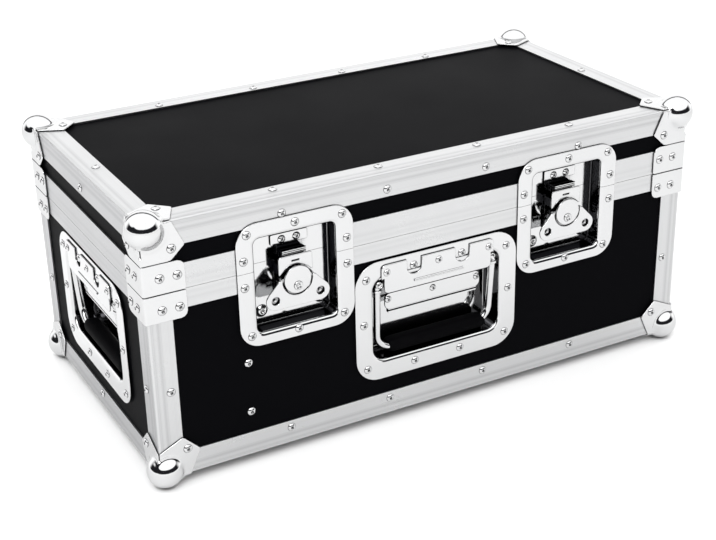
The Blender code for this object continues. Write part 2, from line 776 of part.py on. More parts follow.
# Back plate with the pivot stud and the guide cover over the hook's neck
def latch_base():
    plate_in = LATCH_DEPTH - EDGE_WALL
    plate_out = LATCH_DEPTH - GAP
    plate_top = PIVOT_BELOW - GAP
    head_back = CAP_FACE - GAP
    head_face = head_back - MM
    mid_plate = (plate_in + plate_out) / 2
    plate = extruded(
        rectangle(-COVER_HALF, COVER_HALF, -COVER_HALF, plate_top, PLATE_CORNER),
        plate_in, plate_out, FACE,
    )
    stud = cylinder((0, head_back - MM / 2, 0), (0, mid_plate, 0), STUD_RADIUS, SMALL_SIDES)
    head = cylinder((0, head_face, 0), (0, head_back, 0), STUD_HEAD, SMALL_SIDES)
    leg_in = COVER_HALF - COVER_LEG
    swing = math.asin(leg_in / COVER_ARC)
    leg_foot = COVER_ARC * math.cos(swing)
    steps = 12
    arc = []
    for step in range(steps + 1):
        angle = swing * (2 * step / steps - 1)
        arc.append((COVER_ARC * math.sin(angle), COVER_ARC * math.cos(angle)))
    top = rounded(
        [(COVER_HALF, leg_foot), (COVER_HALF, COVER_TOP), (-COVER_HALF, COVER_TOP),
         (-COVER_HALF, leg_foot)],
        [0, COVER_CORNER, COVER_CORNER, 0],
    )
    cover = extruded(arc + top, COVER_FACE, COVER_FACE + COVER_THICK, FACE)
    legs = []
    for side in (-1, 1):
        near, far = sorted((side * leg_in, side * COVER_HALF))
        foot = leg_foot + GAP
        legs.append(
            box((near, COVER_FACE + COVER_THICK / 2, foot), (far, mid_plate, plate_top - MM))
        )
    return joined(plate, stud, head, cover, *legs)


# The hub: cap, body with the wing's hinge pins, and the eccentric that lifts the hook
def latch_hub():
    cap_back = CAP_FACE + CAP_THICK
    overlap = CAP_THICK / 2
    pin_end = EAR_IN + EAR_THICK + PIN_SPARE
    bar_half = EAR_IN - EAR_FIT
    shape = joined(
        cylinder((0, CAP_FACE, CAP_RAISE), (0, cap_back, CAP_RAISE), CAP_RADIUS, CAP_SIDES),
        cylinder((0, cap_back - overlap, 0), (0, HUB_BACK, 0), HUB_RADIUS),
        box(
            (-bar_half, cap_back - overlap, FLIP_RAISE - 1.5 * FLIP_PIN),
            (bar_half, FLIP_IN + 1.25 * FLIP_PIN, FLIP_RAISE + 1.5 * FLIP_PIN),
        ),
        cylinder((-pin_end, FLIP_IN, FLIP_RAISE), (pin_end, FLIP_IN, FLIP_RAISE), FLIP_PIN, SMALL_SIDES),
        cylinder((0, HUB_BACK - MM, -CAM_THROW), (0, CAM_BACK, -CAM_THROW), CAM_RADIUS),
    )
    bore = STUD_RADIUS + BORE_FIT
    return cut(shape, cylinder((0, -LATCH_DEPTH, 0), (0, LATCH_DEPTH, 0), bore, SMALL_SIDES))


# The wing that a hand folds out and turns; it nests round the cap
def latch_wing():
    back = WING_FACE + WING_THICK
    mouth = CAP_RADIUS + WING_SPACE
    tab = EAR_IN + EAR_THICK + PIN_SPARE / 2
    shoulder = (tab + WING_SHOULDER, FLIP_RAISE)
    lean = math.radians(40)
    lobe_edge = (
        LOBE_ACROSS + LOBE_RADIUS * math.cos(lean),
        LOBE_RADIUS * math.sin(lean) - LOBE_BELOW,
    )
    tab_top = FLIP_RAISE + 0.85 * EAR_RADIUS
    right = [(LOBE_ACROSS, -WING_FOOT), lobe_edge, shoulder, (tab, FLIP_RAISE + MM), (tab, tab_top)]
    outline = right + [(-across, up) for across, up in reversed(right)]
    shape = extruded(outline, WING_FACE, back, FACE)
    lobes = []
    holes = []
    ears = []
    for side in (-1, 1):
        middle = side * LOBE_ACROSS
        lobes.append(
            cylinder((middle, WING_FACE, -LOBE_BELOW), (middle, back, -LOBE_BELOW), LOBE_RADIUS)
        )
        holes.append(
            cylinder(
                (middle, 2 * WING_FACE, -LOBE_BELOW), (middle, -WING_FACE, -LOBE_BELOW),
                LOBE_HOLE, SMALL_SIDES,
            )
        )
        near, far = side * EAR_IN, side * (EAR_IN + EAR_THICK)
        ears.append(
            cylinder((near, FLIP_IN, FLIP_RAISE), (far, FLIP_IN, FLIP_RAISE), EAR_RADIUS, SMALL_SIDES)
        )
    shape = joined(shape, *lobes)
    shape = cut(
        shape,
        cylinder((0, 2 * WING_FACE, CAP_RAISE), (0, -WING_FACE, CAP_RAISE), mouth, CAP_SIDES),
        box((-mouth, 2 * WING_FACE, CAP_RAISE), (mouth, -WING_FACE, 2 * mouth)),
        *holes,
    )
    shape = joined(shape, *ears)
    reach = 2 * EAR_IN
    pin_hole = cylinder(
        (-reach, FLIP_IN, FLIP_RAISE), (reach, FLIP_IN, FLIP_RAISE), FLIP_PIN + BORE_FIT, SMALL_SIDES
    )
    shape = cut(shape, pin_hole)
    shape.data.transform(Matrix.Translation((0, -FLIP_IN, -FLIP_RAISE)))
    return shape


# The hook: a slotted plate round the eccentric, a neck behind the cover and a turned-down tip
def latch_hook():
    plate_in = COVER_FACE + COVER_THICK + 1.5 * GAP + HOOK_SWAY
    plate_back = plate_in + HOOK_PLATE
    rail_half = COVER_HALF - COVER_LEG - 2 * GAP
    slot_half = CAM_RADIUS + CAM_THROW + 1.5 * GAP
    slot_reach = CAM_RADIUS + SLOT_SPARE
    foot = -CAM_THROW - slot_reach - HOOK_MARGIN
    shoulder = -CAM_THROW + slot_reach + HOOK_SHOULDER
    slot = rectangle(
        -slot_half, slot_half, -CAM_THROW - slot_reach, -CAM_THROW + slot_reach, PLATE_CORNER, 2
    )
    neck_half = HOOK_HALF - HOOK_NECK_IN
    neck_top = HOOK_TOP - HOOK_PLATE / 2
    corners = [
        (-rail_half, foot), (rail_half, foot), (rail_half, shoulder), (neck_half, shoulder),
        (neck_half, neck_top), (-neck_half, neck_top), (-neck_half, shoulder),
        (-rail_half, shoulder),
    ]
    soft = HOOK_CORNER
    outline = rounded(corners, [soft, soft, soft, 0, 0, 0, 0, soft], 2)
    plate = extruded(outline, plate_in, plate_back, FACE, [slot])
    under = HOOK_TOP - HOOK_PLATE
    lip_back = HOOK_FACE + HOOK_PLATE
    tip_out = HOOK_TIP_IN - HOOK_TIP
    lip_foot = HOOK_TOP - HOOK_LIP
    pitch = (HOOK_TOP - lip_foot) / HOOK_RIDGES
    ridges = []
    for index in range(HOOK_RIDGES):
        base = lip_foot + index * pitch
        ridges.append((HOOK_FACE, base + 0.2 * pitch))
        ridges.append((HOOK_FACE, base + 0.7 * pitch))
        ridges.append((HOOK_FACE + HOOK_RIDGE, base + 0.85 * pitch))
    ridges.pop()
    profile = [
        (lip_back, under), (lip_back, lip_foot), *ridges, (HOOK_FACE, HOOK_TOP),
        (HOOK_TIP_IN, HOOK_TOP), (HOOK_TIP_IN, HOOK_TOP - HOOK_TIP_DROP),
        (tip_out, HOOK_TOP - HOOK_TIP_DROP), (tip_out, under),
    ]
    return joined(plate, extruded(profile, -HOOK_HALF, HOOK_HALF, SIDE))


def latch_mechanisms(latches):
    base_mesh = mesh_of(latch_base(), "latch_base")
    hub_mesh = mesh_of(latch_hub(), "latch_hub")
    wing_mesh = mesh_of(latch_wing(), "latch_wing")
    hook_mesh = mesh_of(latch_hook(), "latch_hook")
    for side, holder in latches.items():
        pivot = anchor(side + "_latch_pivot", (0, 0, -PIVOT_BELOW), parent=holder)
        piece(side + "_latch_base", base_mesh, STEEL, pivot)
        piece(side + "_latch_hook", hook_mesh, STEEL, pivot)
        hub = piece(side + "_latch_hub", hub_mesh, STEEL, pivot)
        piece(side + "_latch_wing", wing_mesh, STEEL, hub, (0, FLIP_IN, FLIP_RAISE))


# The handle's dish with its hinge plate, the curls round the bail's ends, and the stop plate
def handle_dish():
    half_width = HANDLE_WIDTH / 2
    half_height = HANDLE_HEIGHT / 2
    size = (-half_width, half_width, -half_height, half_height, HANDLE_CORNER)
    shape = dish(size, handle_well(), HANDLE_FACE, HANDLE_DEPTH, HANDLE_DRAFT)
    return joined(shape, hinge_plate(), *curls(), stop_plate())


def hinge_plate():
    step = BAIL_PIVOT_UP + HINGE_NOTCH
    step_half = BAIL_HALF - ROD_RADIUS - 2 * GAP
    back = HINGE_PLATE_FACE + HINGE_PLATE_THICK
    soft = HINGE_PLATE_CORNER
    wide = rounded(
        [(-HINGE_PLATE_HALF, step), (HINGE_PLATE_HALF, step),
         (HINGE_PLATE_HALF, HINGE_PLATE_TOP), (-HINGE_PLATE_HALF, HINGE_PLATE_TOP)],
        [0, 0, soft, soft],
    )
    narrow = rounded(
        [(-step_half, HINGE_PLATE_FOOT), (step_half, HINGE_PLATE_FOOT),
         (step_half, step + soft), (-step_half, step + soft)],
        [soft, soft, 0, 0],
    )
    plate = joined(
        extruded(wide, HINGE_PLATE_FACE, back, FACE),
        extruded(narrow, HINGE_PLATE_FACE, back, FACE),
    )
    seat = extruded(
        rectangle(
            -HINGE_PLATE_HALF + SEAT_MARGIN, HINGE_PLATE_HALF - SEAT_MARGIN,
            HANDLE_WELL_TOP + 2 * PLATE, HINGE_PLATE_TOP - SEAT_MARGIN, SEAT_MARGIN,
        ),
        back - PLATE / 2, HANDLE_FACE + PLATE / 4, FACE,
    )
    pockets = []
    for side in (-1, 1):
        middle = side * POCKET_ACROSS
        outline = rectangle(
            middle - POCKET_RADIUS, middle + POCKET_RADIUS,
            HINGE_PLATE_TOP - 2 * POCKET_RADIUS + MM, HINGE_PLATE_TOP + 2 * POCKET_RADIUS,
            0.95 * POCKET_RADIUS,
        )
        pockets.append(extruded(outline, 2 * HINGE_PLATE_FACE, HANDLE_FACE + PLATE, FACE))
    return cut(joined(plate, seat), *pockets)


def curls():
    outer = ROD_RADIUS + GAP + CURL_WALL
    rings = []
    for side in (-1, 1):
        far = side * (BAIL_HALF - BAIL_BEND - GAP)
        near = far - side * CURL_LENGTH
        ring = cylinder(
            (near, BAIL_PIVOT_IN, BAIL_PIVOT_UP), (far, BAIL_PIVOT_IN, BAIL_PIVOT_UP),
            outer, SMALL_SIDES,
        )
        bore = cylinder(
            (near - side * MM, BAIL_PIVOT_IN, BAIL_PIVOT_UP),
            (far + side * MM, BAIL_PIVOT_IN, BAIL_PIVOT_UP),
            ROD_RADIUS + GAP, SMALL_SIDES,
        )
        rings.append(cut(ring, bore))
    return rings


def stop_plate():
    back = STOP_IN + EDGE_WALL
    plate = extruded(
        rectangle(-STOP_HALF, STOP_HALF, STOP_FOOT, STOP_TOP, STOP_CORNER), STOP_IN, back, FACE
    )
    web = box(
        (-STOP_HALF + STOP_RETURN, STOP_IN + EDGE_WALL / 2, STOP_TOP - EDGE_WALL),
        (STOP_HALF - STOP_RETURN, HANDLE_DEPTH + PLATE / 2, STOP_TOP - STOP_STEP),
    )
    return joined(plate, web)


# The steel bail, about its pivot
def bail():
    reach = BAIL_HALF - BAIL_BEND - CURL_LENGTH
    corners = []
    for side in (-1, 1):
        run = [
            (side * reach, 0, 0), (side * BAIL_HALF, 0, 0),
            (side * BAIL_HALF, BAIL_LEAN, -BAIL_DROP),
        ]
        corners += run if side < 0 else reversed(run)
    radii = [0, BAIL_BEND, BAIL_CORNER, BAIL_CORNER, BAIL_BEND, 0]
    curve = bpy.data.curves.new("rod", "CURVE")
    curve.dimensions = "3D"
    curve.bevel_depth = ROD_RADIUS
    curve.bevel_resolution = 3
    curve.use_fill_caps = True
    path = rounded(corners, radii, 4, closed=False)
    spline = curve.splines.new("POLY")
    spline.points.add(len(path) - 1)
    for point, place in zip(spline.points, path):
        point.co = (*place, 1)
    return settled(as_object(curve), primitive=True)


# The rubber grip: its front outline crossed with its section, bored for the rod
def grip():
    rod = Vector((0, BAIL_LEAN, -BAIL_DROP))
    high = rod.z + GRIP_ABOVE
    low = rod.z - GRIP_BELOW
    bend_top = rod.z + ROD_RADIUS + GRIP_SHOULDER
    corners = [
        (GRIP_NECK, low), (GRIP_NECK, bend_top),
        (GRIP_END, bend_top + GRIP_FLARE), (GRIP_END, high),
    ]
    corners += [(-across, up) for across, up in reversed(corners)]
    front = extruded(rounded(corners, GRIP_CORNER), -GRIP_END, GRIP_END, FACE)
    near = rod.y - GRIP_OUT
    far = rod.y + GRIP_IN
    section = rounded(
        [(near, low), (rod.y + GRIP_IN / 2, low), (far, low + GRIP_FLARE), (far, high), (near, high)],
        [GRIP_BACK, GRIP_FRONT, GRIP_BACK, GRIP_FRONT, GRIP_BACK],
    )
    shape = common(front, extruded(section, -2 * GRIP_END, 2 * GRIP_END, SIDE))
    bore = cylinder(
        (-2 * GRIP_END, rod.y, rod.z), (2 * GRIP_END, rod.y, rod.z), ROD_RADIUS + GAP, SMALL_SIDES
    )
    return cut(shape, bore)


def handles(holders):
    dish_mesh = mesh_of(handle_dish(), "handle_dish")
    bail_mesh = mesh_of(bail(), "handle_bail")
    grip_mesh = mesh_of(grip(), "handle_grip")
    for side, holder in holders.items():
        piece(side + "_handle_dish", dish_mesh, STEEL, holder)
        pivot = anchor(side + "_bail_pivot", (0, BAIL_PIVOT_IN, BAIL_PIVOT_UP), parent=holder)
        piece(side + "_handle_bail", bail_mesh, STEEL, pivot)
        piece(side + "_handle_grip", grip_mesh, RUBBER, pivot)


# One leaf of a butt hinge with its knuckles, about the hinge axis; up is 1 for the lid's leaf
def hinge_leaf(up):
    length = HINGE_LENGTH / KNUCKLES
    plate_near = -HINGE_OUT + GAP
    plate_far = plate_near + EDGE_WALL
    clear = HINGE_BARREL + GAP
    foot, head = sorted((up * clear, up * (clear + HINGE_LEAF - HINGE_BARREL)))
    half = HINGE_LENGTH / 2
    shape = extruded(rectangle(-half, half, foot, head, HINGE_CORNER), plate_near, plate_far, FACE)
    barrels = []
    for index in range(KNUCKLES):
        if (index % 2 == 0) == (up > 0):
            continue
        left = -half + index * length + GAP / 2
        right = left + length - GAP
        low, high = sorted((up * GAP, up * (clear + MM)))
        barrels.append(box((left + GAP, plate_near, low), (right - GAP, -GAP, high)))
        barrels.append(cylinder((left, 0, 0), (right, 0, 0), HINGE_BARREL, SMALL_SIDES))
    shape = joined(shape, *barrels)
    if up > 0:
        bore = cylinder((-half, 0, 0), (half, 0, 0), HINGE_PIN + BORE_FIT, SMALL_SIDES)
        return cut(shape, bore)
    return joined(shape, cylinder((-half + MM, 0, 0), (half - MM, 0, 0), HINGE_PIN, SMALL_SIDES))


def butt_hinges():
    base_mesh = mesh_of(hinge_leaf(-1), "base_hinge_leaf")
    lid_mesh = mesh_of(hinge_leaf(1), "lid_hinge_leaf")
    for side, across in (("left", -HINGE_SPREAD), ("right", HINGE_SPREAD)):
        axis = anchor(side + "_hinge_axis", (across, BACK + HINGE_OUT, PARTING + GAP / 2))
        piece(side + "_hinge_base_leaf", base_mesh, STEEL, axis)
        piece(side + "_hinge_lid_leaf", lid_mesh, STEEL, axis)


# A folded sheet across the base, riveted through its flanges to the front and back walls
def divider():
    left = LEFT + DIVIDER_FROM_LEFT
    near = FRONT + PANEL_IN + GAP
    far = BACK - PANEL_IN - GAP
    right = left + DIVIDER_FLANGE
    sheet = DIVIDER_SHEET
    outline = [
        (left, near), (right, near), (right, near + sheet), (left + sheet, near + sheet),
        (left + sheet, far - sheet), (right, far - sheet), (right, far), (left, far),
    ]
    low = BOTTOM + PANEL_IN + GAP
    single("divider", extruded(outline, low, low + DIVIDER_HEIGHT, PLAN), ALUMINIUM)


def main():
    latches = {}
    for side, across in (("left", -LATCH_OFFSET), ("right", LATCH_OFFSET)):
        latches[side] = anchor(side + "_latch", (across, FRONT, PARTING))
    quarter = math.pi / 2
    holders = {
        "front": anchor("front_handle", (0, FRONT, HANDLE_MIDDLE)),
        "left": anchor("left_handle", (LEFT, 0, HANDLE_MIDDLE), -quarter),
        "right": anchor("right_handle", (RIGHT, 0, HANDLE_MIDDLE), quarter),
    }
    latch_cutters = [
        well_cutter(side + "_latch_opening", latch_well(), LATCH_DEPTH, holder)
        for side, holder in latches.items()
    ]
    handle_cutters = {
        side: well_cutter(side + "_handle_opening", handle_well(), HANDLE_DEPTH, holder)
        for side, holder in holders.items()
    }
    base_panels(latch_cutters, handle_cutters)
    lid_panels(latch_cutters)
    angle_frames()
    edge_mesh = mesh_of(upright_edges(), "upright_edge")
    for name, across, along, turn in corner_places():
        piece("upright_edge_" + name, edge_mesh, ALUMINIUM, None, (across, along, 0), turn)
    closer("base_closer", base_closer_profile())
    closer("lid_closer", lid_closer_profile())
    ball_corners()
    braces()
    latch_dishes(latches)
    latch_mechanisms(latches)
    handles(holders)
    butt_hinges()
    divider()


main()
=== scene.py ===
# Accessory flight case, dressed for its picture: plated steel, satin edging, laminate and rubber.
# Everything is in metres, with the balls standing on z = 0 and the latches on the -Y side.
import json
import math

import bmesh
import bpy
from mathutils import Matrix, Vector

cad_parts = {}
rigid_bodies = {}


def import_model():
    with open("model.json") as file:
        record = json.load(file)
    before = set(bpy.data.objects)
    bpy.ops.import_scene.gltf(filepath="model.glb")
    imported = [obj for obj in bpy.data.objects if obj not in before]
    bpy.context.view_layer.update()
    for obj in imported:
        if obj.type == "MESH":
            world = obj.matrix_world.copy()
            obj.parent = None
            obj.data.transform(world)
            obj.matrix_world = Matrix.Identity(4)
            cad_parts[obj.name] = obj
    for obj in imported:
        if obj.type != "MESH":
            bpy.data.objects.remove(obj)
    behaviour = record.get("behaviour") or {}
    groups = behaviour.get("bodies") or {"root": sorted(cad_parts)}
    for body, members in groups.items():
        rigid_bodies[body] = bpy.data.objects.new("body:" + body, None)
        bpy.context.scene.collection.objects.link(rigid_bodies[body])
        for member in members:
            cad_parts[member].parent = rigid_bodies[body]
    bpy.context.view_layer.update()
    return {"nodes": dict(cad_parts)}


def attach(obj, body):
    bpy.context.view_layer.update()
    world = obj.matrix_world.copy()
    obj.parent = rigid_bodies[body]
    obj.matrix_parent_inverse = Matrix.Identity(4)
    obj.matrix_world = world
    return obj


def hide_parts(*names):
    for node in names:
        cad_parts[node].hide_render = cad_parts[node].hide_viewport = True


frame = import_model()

mm = 0.001

case = {  # over the edging, without the balls
    "halfLength": 269.2 * mm,
    "halfWidth": 140.2 * mm,
    "bottom": 9.4 * mm,
    "parting": 180.4 * mm,  # where the lid closes on the base
    "top": 241.2 * mm,
    "latchOffset": 136.5 * mm,
    "handleMiddle": 104.39 * mm,
    "braceEdge": 0.4 * mm,  # width of the soft edges
    "leafEdge": 0.2 * mm,
}
halfLength, halfWidth = case["halfLength"], case["halfWidth"]
cornerTurns = {"front_left": 0, "front_right": 1, "back_right": 2, "back_left": 3}


# Sockets as Python values: an expression adds its own Math nodes
def mathsMethod(operation, swapped=False):
    def method(self, *others):
        values = (*others, self) if swapped else (self, *others)
        return self.graph.add("ShaderNodeMath", {"operation": operation}, dict(enumerate(values)))

    return method


class Wire:
    def __init__(self, graph, socket):
        self.graph = graph
        self.socket = socket

    __add__ = mathsMethod("ADD")
    __radd__ = mathsMethod("ADD", True)
    __sub__ = mathsMethod("SUBTRACT")
    __rsub__ = mathsMethod("SUBTRACT", True)
    __mul__ = mathsMethod("MULTIPLY")
    __rmul__ = mathsMethod("MULTIPLY", True)
    __truediv__ = mathsMethod("DIVIDE")
    __pow__ = mathsMethod("POWER")
    __abs__ = mathsMethod("ABSOLUTE")
    least = mathsMethod("MINIMUM")
    most = mathsMethod("MAXIMUM")
    wave = mathsMethod("SINE")
    rounded = mathsMethod("SMOOTH_MAX")  # the greater of two, with a round between
    melted = mathsMethod("SMOOTH_MIN")  # the lesser of two, with a fillet between

    def over(self, low, high):  # 0 below low, 1 above high, soft between
        settings = {"interpolation_type": "SMOOTHSTEP"}
        return self.graph.add("ShaderNodeMapRange", settings, {0: self, 1: low, 2: high})

    def also(self, name):  # another output of the same node
        return Wire(self.graph, self.socket.node.outputs[name])

    def parts(self):
        x = self.graph.add("ShaderNodeSeparateXYZ", {}, {0: self})
        return x, x.also("Y"), x.also("Z")


class Graph:
    def __init__(self, tree):
        self.tree = tree
        tree.nodes.clear()

    def add(self, kind, settings=None, sockets=None, output=0):
        node = self.tree.nodes.new(kind)
        for name, value in (settings or {}).items():
            setattr(node, name, value)
        for key, value in (sockets or {}).items():
            if isinstance(value, Wire):
                self.tree.links.new(value.socket, node.inputs[key])
            else:
                node.inputs[key].default_value = value
        return Wire(self, node.outputs[output]) if node.outputs else None

    def noise(self, place, scale, detail, roughness):
        sockets = {"Vector": place, "Scale": scale, "Detail": detail, "Roughness": roughness}
        return self.add("ShaderNodeTexNoise", {}, sockets)

    def blend(self, factor, first, second):
        colours = {0: factor, 6: (*first, 1) if isinstance(first, tuple) else first, 7: (*second, 1)}
        return self.add("ShaderNodeMix", {"data_type": "RGBA"}, colours, 2)

    def occlusionShade(self, reach, low, high):  # 1 in the gaps between pieces, found by ambient occlusion: the mask for painted shade
        shade = self.add("ShaderNodeAmbientOcclusion", {"samples": 6}, {"Distance": reach}, 1)
        return 1 - shade.over(low, high)

    def stretched(self, place, scale):
        return self.add("ShaderNodeMapping", {}, {"Vector": place, "Scale": scale})


def newFinish(name):
    material = bpy.data.materials.new(name)
    material.use_nodes = True
    graph = Graph(material.node_tree)
    place = graph.add("ShaderNodeTexCoord", output="Object")
    return material, graph, place


def endFinish(graph, sockets, height=None, depth=0.0):  # the height's waves are that deep
    if height is not None:
        bump = {"Height": height, "Distance": depth, "Strength": 1.0}
        sockets["Normal"] = graph.add("ShaderNodeBump", {}, bump)
    shader = graph.add("ShaderNodeBsdfPrincipled", {}, sockets)
    graph.add("ShaderNodeOutputMaterial", {}, {"Surface": shader})


# The black phenolic-faced laminate of the panels
laminateLook = {
    "colour": (0.0019, 0.0020, 0.0027),
    "worn": (0.0040, 0.0039, 0.0044),
    "grain": 1500,  # specks to the metre
    "roughness": 0.42,
    "gloss": 0.008,
}


def laminateFinish():
    look = laminateLook
    material, graph, place = newFinish("blackLaminate")
    grain = graph.noise(place, look["grain"], 3, 0.6)
    cloud = graph.noise(place, 9, 4, 0.6)
    scuff = graph.noise(graph.stretched(place, (30, 400, 400)), 1, 4, 0.7).over(0.66, 0.8)
    colour = graph.blend(grain * 0.35 + cloud * 0.25 + scuff * 0.25, look["colour"], look["worn"])
    roughness = look["roughness"] + (cloud - 0.5) * 0.16 + (grain - 0.5) * 0.1
    sockets = {"Base Color": colour, "Roughness": roughness, "Specular IOR Level": look["gloss"]}
    endFinish(graph, sockets, grain, 0.05 * mm)
    return material


edgingLook = {
    "colour": (0.585, 0.588, 0.592),
    "streak": (0.33, 0.332, 0.34),
    # the colour of the painted shade in the gaps
    "paintedShade": (0.05, 0.05, 0.055),
    "rib": 1.15 * mm,  # from one rib to the next
    "streaks": 170,  # to the metre, across the run
    "paintedSideShade": 0.62,  # painted shade that makes the end faces greyer
    "margin": 2.0 * mm,  # plain beside the outer edge
    "roughness": 0.30,
}


def edgingFinish(name, across, ribs=1.0):
    look = edgingLook
    material, graph, place = newFinish(name)
    inward = across(*place.parts())
    shadedEndFace = abs(place.also("Normal").parts()[0]).over(0.6, 0.9)
    inner = inward.over(look["margin"], look["margin"] * 1.4)
    rib = ((inward * (2 * math.pi / look["rib"])).wave() * 0.5 + 0.5) ** 0.7
    lines = {"W": inward, "Scale": look["streaks"], "Detail": 2.0}
    band = graph.add("ShaderNodeTexNoise", {"noise_dimensions": "1D"}, lines)
    fine = graph.noise(place, 900, 2, 0.5)
    cloud = graph.noise(place, 14, 3, 0.6)
    streak = band.over(0.45, 0.68) * inner
    # Streaks and cloud are the edging's own tone; the darker rib valleys and end faces are painted shade,
    # blended into worn with them
    shade = streak * 0.38 * ribs + (1 - rib) * inner * 0.16 * ribs + cloud * 0.1 + shadedEndFace * look["paintedSideShade"]
    worn = graph.blend(shade.least(1), look["colour"], look["streak"])
    # painted shade: the edging darkens in the gaps that ambient occlusion finds
    colour = graph.blend(graph.occlusionShade(3 * mm, 0.25, 0.75), worn, look["paintedShade"])
    roughness = look["roughness"] + (cloud - 0.5) * 0.12 + (fine - 0.5) * 0.08
    height = rib * inner * 0.5 * ribs + fine * 0.05
    endFinish(graph, {"Base Color": colour, "Roughness": roughness, "Metallic": 1.0}, height, 0.05 * mm)
    return material


def edgingFinishes():
    def level(x, y):
        return (halfLength - abs(x)).least(halfWidth - abs(y))

    def beside(x, y, z):
        return (halfLength - abs(x)).most(halfWidth - abs(y))

    return {
        "top": edgingFinish("lidEdging", lambda x, y, z: level(x, y).most(case["top"] - z)),
        "bottom": edgingFinish("baseEdging", lambda x, y, z: level(x, y).most(z - case["bottom"])),
        "upright": edgingFinish("uprightEdging", beside),
        "closer": edgingFinish("closingEdging", lambda x, y, z: abs(z - case["parting"]), 0.35),
    }


plateLook = {
    "colour": (0.645, 0.647, 0.65),
    "tint": (0.55, 0.555, 0.562),
    # the colour of the painted shade in gaps and on the dish walls
    "paintedShade": (0.012, 0.012, 0.014),
    "ripple": 45,  # waves to the metre
}


def paintedWallShade(place):  # 1 on the walls of the dishes, 0 on their rims and floors: where the walls get painted shade
    x, y, z = place.parts()
    fromFront, fromEnd = y + halfWidth, halfLength - abs(x)
    ended = (fromFront - fromEnd).over(0, 1 * mm)
    facingX, facingY, facingZ = place.also("Normal").parts()
    facing = abs(facingY) * (1 - ended) + abs(facingX) * ended
    return fromFront.least(fromEnd).over(1.0 * mm, 2.2 * mm) * (1 - facing.over(0.93, 0.9995))


def plateFinish(name, roughness, ripple, reach, walls=0.0, edgeTint=1.0):
    look = plateLook
    material, graph, place = newFinish(name)
    cloud = graph.noise(place, 24, 3, 0.6)
    wave = graph.noise(place, look["ripple"], 1, 0.4)
    scratch = graph.noise(graph.stretched(place, (60, 700, 700)), 1, 3, 0.7).over(0.6, 0.75)
    clean = graph.blend(cloud * 0.5, look["colour"], look["tint"])
    # painted shade: ambient occlusion darkens the colour in gaps and recesses, as far as reach
    paintedShade = graph.occlusionShade(reach, 0.35, 0.82)
    # painted shade on the dish walls, as strong as walls says
    if walls:
        paintedShade = paintedShade.most(paintedWallShade(place) * walls)
    colour = graph.blend(paintedShade, clean, look["paintedShade"])
    rough = roughness + (cloud - 0.5) * 0.08 + scratch * 0.05
    sockets = {"Base Color": colour, "Roughness": rough, "Metallic": 1.0}
    sockets["Specular Tint"] = (edgeTint, edgeTint, edgeTint, 1)
    endFinish(graph, sockets, wave, ripple)
    return material


rubberLook = {
    "colour": (0.0012, 0.0012, 0.0016),
    "worn": (0.0030, 0.0030, 0.0034),
    "pebbles": 1400.0,  # to the metre
    "gloss": 0.015,
}


def rubberFinish():
    look = rubberLook
    material, graph, place = newFinish("gripRubber")
    pebble = graph.add("ShaderNodeTexVoronoi", {}, {"Vector": place, "Scale": look["pebbles"]})
    cloud = graph.noise(place, 70, 3, 0.6)
    colour = graph.blend(cloud, look["colour"], look["worn"])
    sockets = {"Base Color": colour, "Roughness": 0.5 + cloud * 0.14, "Specular IOR Level": look["gloss"]}
    endFinish(graph, sockets, pebble, 0.05 * mm)
    return material


def sheetFinish():
    material, graph, place = newFinish("brushedSheet")
    brush = graph.noise(graph.stretched(place, (900, 25, 900)), 1, 4, 0.7)
    cloud = graph.noise(place, 20, 3, 0.6)
    colour = graph.blend(brush * 0.6 + cloud * 0.3, (0.56, 0.565, 0.57), (0.38, 0.385, 0.39))
    sockets = {"Base Color": colour, "Roughness": 0.34 + brush * 0.14, "Metallic": 1.0}
    endFinish(graph, sockets, brush, 0.03 * mm)
    return material


# Making and placing meshes
def finished(shell, mesh=None):  # the mesh of an edited shell
    mesh = mesh or bpy.data.meshes.new("shape")
    shell.to_mesh(mesh)
    shell.free()
    return mesh


def gathered(meshes):
    joined = bmesh.new()
    for mesh in meshes:
        joined.from_mesh(mesh)
        bpy.data.meshes.remove(mesh)
    return finished(joined)


def shapeOf(data, name="shape"):
    shape = bpy.data.objects.new(name, data)
    bpy.context.scene.collection.objects.link(shape)
    return shape


def settled(shape):  # the evaluated mesh, with the object's own place baked in
    bpy.context.view_layer.update()
    graph = bpy.context.evaluated_depsgraph_get()
    mesh = bpy.data.meshes.new_from_object(shape.evaluated_get(graph), depsgraph=graph)
    mesh.transform(shape.matrix_world)
    bpy.data.batch_remove([shape, shape.data])
    return mesh


def modified(shape, kind, **settings):
    modifier = shape.modifiers.new(kind.lower(), kind)
    for name, value in settings.items():
        setattr(modifier, name, value)
    return shape


def grown(mesh, tree, sizes):  # what a node tree makes of a mesh
    shape = shapeOf(mesh)
    modifier = shape.modifiers.new("nodes", "NODES")
    modifier.node_group = tree
    for item in tree.interface.items_tree:
        if item.item_type == "SOCKET" and item.in_out == "INPUT" and item.name in sizes:
            modifier[item.identifier] = sizes[item.name]
    return settled(shape)


def polished(mesh, sharp):  # smooth faces whose flats stay flat, with sharp edges past an angle
    mesh.shade_smooth()
    mesh.set_sharp_from_angle(angle=math.radians(sharp))
    return settled(modified(shapeOf(mesh), "WEIGHTED_NORMAL", keep_sharp=True))


def tidied(mesh, merge=0.002):  # doubles merged, by a distance in mm, and faces turned outwards
    shell = bmesh.new()
    shell.from_mesh(mesh)
    bmesh.ops.remove_doubles(shell, verts=shell.verts, dist=merge * mm)
    bmesh.ops.recalc_face_normals(shell, faces=shell.faces)
    return finished(shell, mesh)


